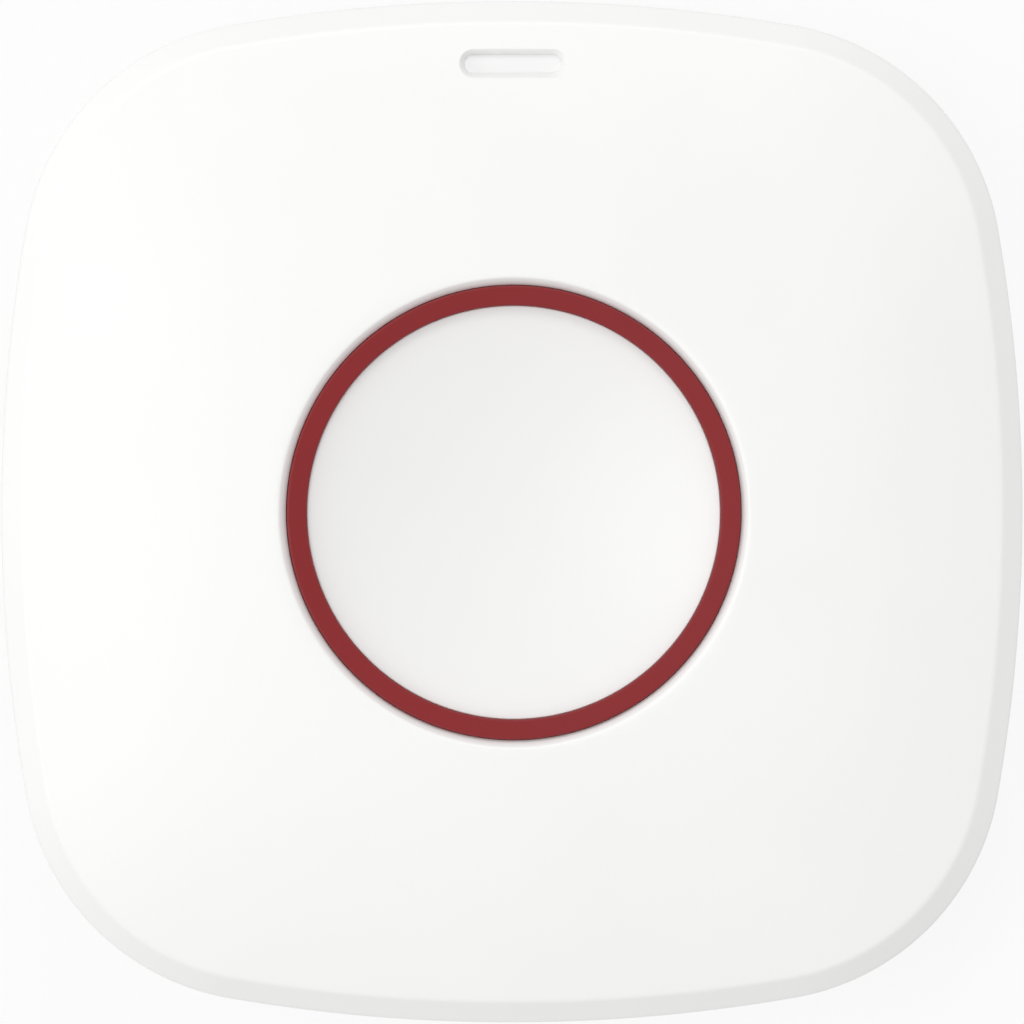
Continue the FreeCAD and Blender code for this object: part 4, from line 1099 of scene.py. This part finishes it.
@dataclass
class PushButton:
    """Red ring and dished cap."""

    ring_outer: float = 13.76
    ring_inner: float = 12.54
    ring_top: float = 16.1
    ring_lean: float = 0.1
    ring_foot: float = 13.0
    ring_edge: float = 0.14
    ring_foot_edge: float = 0.05
    cap_radius: float = 12.535
    cap_top: float = 15.5
    cap_foot: float = 13.6
    cap_edge: float = 0.1
    dish: float = 1.5
    dish_rows: int = 48
    dish_margin: float = 0.22
    middle: float = 0.3
    columns: int = 480

    def ring(self) -> bpy.types.Object:
        """Ring turned about the axis, with rounded edges and a top that leans in to the cap.

        Returns:
            The ring.
        """
        rows = circle_rows((self.ring_inner, self.ring_foot, self.ring_foot_edge),
                           (self.ring_inner, self.ring_top - self.ring_lean, self.ring_edge),
                           (self.ring_outer, self.ring_top, self.ring_edge),
                           (self.ring_outer, self.ring_foot, self.ring_foot_edge))
        return lathe("button_ring_skin", rows, closed=True, columns=self.columns)

    def cap(self) -> bpy.types.Object:
        """Cap: the dish is z = top - depth + R - sqrt(R^2 - r^2), with R from its depth and radius.

        Returns:
            The cap.
        """
        curve = (self.cap_radius ** 2 + self.dish ** 2) / (2 * self.dish)
        reach = np.linspace(self.middle, self.cap_radius - self.dish_margin, self.dish_rows)
        level = self.cap_top - self.dish + curve - np.sqrt(curve ** 2 - reach ** 2)
        rest = circle_rows((self.cap_radius, self.cap_top, self.cap_edge),
                           (self.cap_radius, self.cap_foot, self.cap_edge), (self.middle, self.cap_foot))
        rows = np.concatenate([circle_rows(*zip(reach, level)), rest])
        return lathe("button_cap_skin", rows, columns=self.columns)

    def dress(self, finishes: dict[str, bpy.types.Material]) -> list[bpy.types.Object]:
        """Builds the ring and the cap in their finishes."""
        return [finished(self.ring(), "red_ring", "push_button", finishes, "button_ring"),
                finished(self.cap(), "white_cap", "push_button", finishes, "button_cap")]


@dataclass
class Indicator:
    """Milky window that closes the slot at the foot of its sloped wall."""

    cover: FrontCover = field(default_factory=FrontCover)
    stem_length: float = 2.4
    stem_width: float = 1.0
    stem_foot: float = 10.4
    stem_shift: float = 0.44
    stem_drop: float = 0.1
    flange_height: float = 0.8
    flange_play: float = 0.06
    # depth below the slot's wall and inset of each ring of the face
    face_rings: tuple[tuple[float, float], ...] = ((0.96, 0.0), (0.03, 0.0), (0.01, 0.05), (0.0, 0.15))

    def face(self) -> bpy.types.Object:
        """Face in the slot, with a softened edge just inside the slot's wall.

        Returns:
            The face.
        """
        depth, wall = self.cover.slot_depth, -self.cover.slot_slope
        rings = [self.cover.slot_ring(depth + deeper, wall - inset) for deeper, inset in self.face_rings]
        return stack("indicator_window_skin", rings)

    def dress(self, finishes: dict[str, bpy.types.Material]) -> list[bpy.types.Object]:
        """Builds the light pipe: face in the slot, flange under the cover and stem to the lamp.

        Args:
            finishes: Finishes by slot.

        Returns:
            The window.
        """
        centre, top, play = self.cover.slot_centre, self.cover.seat_top, self.flange_play
        window = self.face()
        flange = block("flange", (play - self.cover.seat_half, centre - self.cover.seat_below + play,
                                  top - self.flange_height),
                       (self.cover.seat_half - play, centre + self.cover.seat_above - play, top))
        middle = centre - self.stem_shift
        stem = block("stem", (-self.stem_length / 2, middle - self.stem_width / 2, self.stem_foot),
                     (self.stem_length / 2, middle + self.stem_width / 2, top - self.stem_drop))
        carve(window, [flange], Carving.ADD)
        carve(window, [stem], Carving.ADD)
        return [finished(window, "clear_window", "housing", finishes, "indicator_window")]


@dataclass
class BatteryDoor:
    """Round door: flange with coin slot, cup for the cell and three lugs."""

    flange: float = 15.4
    boss: float = 13.5
    cup: float = 12.55
    face: float = 0.1
    flange_top: float = 1.2
    cup_floor: float = 2.1
    top: float = 4.5
    middle: float = 0.3
    face_edge: float = 0.18
    flange_edge: float = 0.1
    cup_edge: float = 0.12
    cup_root: float = 0.3
    lug_foot: float = 3.5
    lug_reach: float = 14.3
    lug_half: float = 3.0
    lug_overlap: float = 0.5
    lug_drop: float = 0.001
    coin_length: float = 16.0
    coin_width: float = 2.2
    # growth and level of each ring of the coin slot's cutter
    coin_rings: tuple[tuple[float, float], ...] = ((1.4, -0.45), (0.0, 0.25), (-0.1, 1.02), (-0.3, 1.1))
    columns: int = 480

    def turned(self) -> bpy.types.Object:
        """Flange, boss and cup, turned about the axis.

        Returns:
            The door without lugs and slot.
        """
        rows = circle_rows((self.middle, self.face), (self.flange, self.face, self.face_edge),
                           (self.flange, self.flange_top, self.flange_edge),
                           (self.boss, self.flange_top, self.flange_edge),
                           (self.boss, self.top, self.cup_edge), (self.cup, self.top, self.cup_edge),
                           (self.cup, self.cup_floor, self.cup_root), (self.middle, self.cup_floor))
        return lathe("battery_door_skin", rows, columns=self.columns)

    def coin_slot(self) -> bpy.types.Object:
        """Cutter of the coin slot, with a bevelled mouth and a narrower foot.

        Returns:
            The cutter.
        """
        rings = [stadium_ring(self.coin_length + grow, self.coin_width + grow, level, (0.0, 0.0))
                 for grow, level in self.coin_rings]
        return stack("coin_slot", rings)

    def dress(self, finishes: dict[str, bpy.types.Material]) -> list[bpy.types.Object]:
        """Builds the door in its finish.

        Args:
            finishes: Finishes by slot.

        Returns:
            The door.
        """
        door = self.turned()
        lugs = [block("lug", (self.boss - self.lug_overlap, -self.lug_half, self.lug_foot),
                      (self.lug_reach, self.lug_half, self.top - self.lug_drop), turn)
                for turn in THIRDS]
        carve(door, lugs, Carving.ADD)
        carve(door, [self.coin_slot()], Carving.CUT)
        return [finished(door, "white_housing", "door", finishes, "battery_door")]


@dataclass
class CaseScrews:
    """Four screws with cross recesses that close the housing from behind."""

    housing: Housing = field(default_factory=Housing)
    head: float = 2.0
    face: float = 1.6
    seat: float = 3.0
    shank: float = 1.1
    tip: float = 12.0
    tip_length: float = 1.0
    middle: float = 0.1
    head_edge: float = 0.35
    seat_edge: float = 0.08
    shank_root: float = 0.05
    tip_edge: float = 0.2
    arm: float = 1.1
    blade: float = 0.45
    depth: float = 0.8
    recess_out: float = 0.3
    recess_mouth: float = 1.12
    recess_foot: float = 0.66

    def drive_bars(self, place: tuple[float, float]) -> list[bpy.types.Object]:
        """The two crossed bars of the recess, which narrow towards its foot.

        Args:
            place: Axis of the screw.

        Returns:
            The cutters.
        """
        ends = ((self.face - self.recess_out, self.recess_mouth),
                (self.face + self.depth, self.recess_foot))
        bars = []
        for wide, tall in ((self.arm, self.blade / 2), (self.blade / 2, self.arm)):
            rings = [lifted(rectangle((-wide, -tall), (wide, tall)) * share + np.array(place), level)
                     for level, share in ends]
            bars.append(stack("drive_bar", rings))
        return bars

    def screw(self, name: str, place: tuple[float, float]) -> bpy.types.Object:
        """One screw: turned head and shank with the recess cut into its face.

        Args:
            name: Name of the screw.
            place: Its axis.

        Returns:
            The screw.
        """
        rows = circle_rows((self.middle, self.face), (self.head, self.face, self.head_edge),
                           (self.head, self.seat, self.seat_edge),
                           (self.shank, self.seat, self.shank_root),
                           (self.shank, self.tip - self.tip_length, self.tip_edge),
                           (self.middle, self.tip))
        screw = lathe(name, rows, columns=72, centre=place)
        for bar in self.drive_bars(place):
            carve(screw, [bar], Carving.CUT)
        return screw

    def dress(self, finishes: dict[str, bpy.types.Material]) -> list[bpy.types.Object]:
        """Builds the four screws in their finish."""
        return [finished(self.screw(f"case_screw_{number}", place), "screw_steel", "housing", finishes,
                         "case_screws")
                for number, place in enumerate(self.housing.screw_places(), 1)]


def dress_solids(finishes: dict[str, bpy.types.Material]) -> None:
    """Gives every solid its finish, through its own material slots.

    Args:
        finishes: Finishes by slot.
    """
    slots = {part["node"]: part["material_slot"] for part in frame["record"]["subparts"]}
    for name, item in frame["nodes"].items():
        for place in item.material_slots:
            place.material = finishes[slots[name]]


# studio


@dataclass(frozen=True)
class Lamp:
    """Square area lamp: name, place in metres and power in watts."""

    name: str
    place: tuple[float, float, float]
    power: float


@dataclass
class Studio:
    """Pale floor, soft lamps and a long-lens camera straight in front of the unit."""

    # camera, whose places are in millimetres
    focal: float = 800.0
    sensor: float = 36.0
    view_width: float = 62.12
    view_plane: float = 12.7
    middle_x: float = -0.024
    middle_y: float = -0.006
    aside: float = -38.0
    above: float = 17.0
    # lamps and surroundings
    lamps: tuple[Lamp, ...] = (Lamp("high_lamp", (-0.39, 0.0, 1.08), 2.42),
                               Lamp("top_lamp", (0.0, 0.81, 0.81), 2.25),
                               Lamp("side_lamp", (-1.04, 0.0, 0.49), 1.68))
    lamp_size: float = 0.4
    lamp_target: float = 0.014
    ambient: float = 0.7
    # floor
    floor_reach: float = 2.0
    floor_level: float = 0.8
    floor_roughness: float = 0.9
    floor_white: float = 0.86

    def camera(self) -> None:
        """Long-lens camera above the unit, a little to its upper left, with +Y up in the picture.

        Its distance is the width of the view times the focal length, divided by the sensor's width.
        """
        data = bpy.data.cameras.new("front_camera")
        data.lens = self.focal
        data.sensor_width = self.sensor
        camera = bpy.data.objects.new("front_camera", data)
        target = Vector((self.middle_x, self.middle_y, self.view_plane))
        away = Vector((self.aside, self.above, self.view_width * self.focal / self.sensor))
        back = away.normalized()
        right = Vector((0, 1, 0)).cross(back).normalized()
        turn = Matrix((right, back.cross(right), back)).transposed()
        camera.location = (target + away) * MM
        camera.rotation_euler = turn.to_euler()
        bpy.context.scene.collection.objects.link(camera)
        bpy.context.scene.camera = camera

    def light(self, lamp: Lamp) -> None:
        """Sets up a lamp that faces the unit.

        Args:
            lamp: The lamp.
        """
        data = bpy.data.lights.new(lamp.name, "AREA")
        data.size = self.lamp_size
        data.energy = lamp.power
        item = bpy.data.objects.new(lamp.name, data)
        item.location = lamp.place
        aim = Vector((0, 0, self.lamp_target)) - Vector(lamp.place)
        item.rotation_euler = aim.to_track_quat("-Z", "Y").to_euler()
        bpy.context.scene.collection.objects.link(item)

    @staticmethod
    def see_white(tree: bpy.types.NodeTree) -> bpy.types.NodeSocket:
        """Mask of the rays that see the floor and the surroundings white.

        Args:
            tree: Tree of the floor's material or of the world.

        Returns:
            1 where a camera, glossy or transmission ray looks, else 0.
        """
        path = new_node(tree, "LightPath").outputs
        either = worked_out(tree, "MAXIMUM", path["Is Camera Ray"], path["Is Glossy Ray"])
        return worked_out(tree, "MAXIMUM", either, path["Is Transmission Ray"])

    def floor(self) -> None:
        """Pale floor under the unit that shows nearly white and keeps the shadow."""
        reach = self.floor_reach
        corners = [(*spot, 0.0) for spot in rectangle((-reach, -reach), (reach, reach))]
        mesh = bpy.data.meshes.new("floor")
        mesh.from_pydata(corners, [], [(0, 1, 2, 3)])
        floor = bpy.data.objects.new("floor", mesh)
        bpy.context.scene.collection.objects.link(floor)
        material = bpy.data.materials.new("floor_finish")
        material.use_nodes = True
        tree = material.node_tree
        shader = tree.nodes["Principled BSDF"]
        shader.inputs["Base Color"].default_value = (self.floor_level,) * 3 + (1.0,)
        shader.inputs["Roughness"].default_value = self.floor_roughness
        glow = new_node(tree, "Emission")
        blend = new_node(tree, "MixShader")
        share = worked_out(tree, "MULTIPLY", self.see_white(tree), self.floor_white)
        for socket, value in zip(blend.inputs, (share, shader.outputs[0], glow.outputs[0])):
            feed(tree, socket, value)
        feed(tree, tree.nodes["Material Output"].inputs["Surface"], blend.outputs[0])
        mesh.materials.append(material)

    def world(self) -> None:
        """Even pale surroundings that are plain white to the camera."""
        world = bpy.data.worlds.new("studio")
        world.use_nodes = True
        tree = world.node_tree
        back = tree.nodes["Background"]
        level = new_node(tree, "MapRange", Value=self.see_white(tree), To_Min=self.ambient, To_Max=1.0)
        feed(tree, back.inputs["Strength"], level.outputs["Result"])
        feed(tree, back.inputs["Color"], (1.0, 1.0, 1.0, 1.0))
        bpy.context.scene.world = world

    def build(self) -> None:
        """Sets up camera, surroundings, floor and lamps."""
        self.camera()
        self.world()
        self.floor()
        for lamp in self.lamps:
            self.light(lamp)
        bpy.context.scene.view_settings.view_transform = "Standard"


def main() -> None:
    """Builds the studio and every sub-assembly, and reports each piece."""
    logging.basicConfig(level=logging.INFO)
    Studio().build()
    effects = shared_effects()
    finishes = {finish.slot: finish.build(effects) for finish in FINISHES}
    dress_solids(finishes)
    for part in (FrontCover(), RearCase(), PushButton(), Indicator(), BatteryDoor(), CaseScrews()):
        for piece in part.dress(finishes):
            LOG.info("%s: %d faces", piece.name, len(piece.data.polygons))


if __name__ == "__main__":
    main()
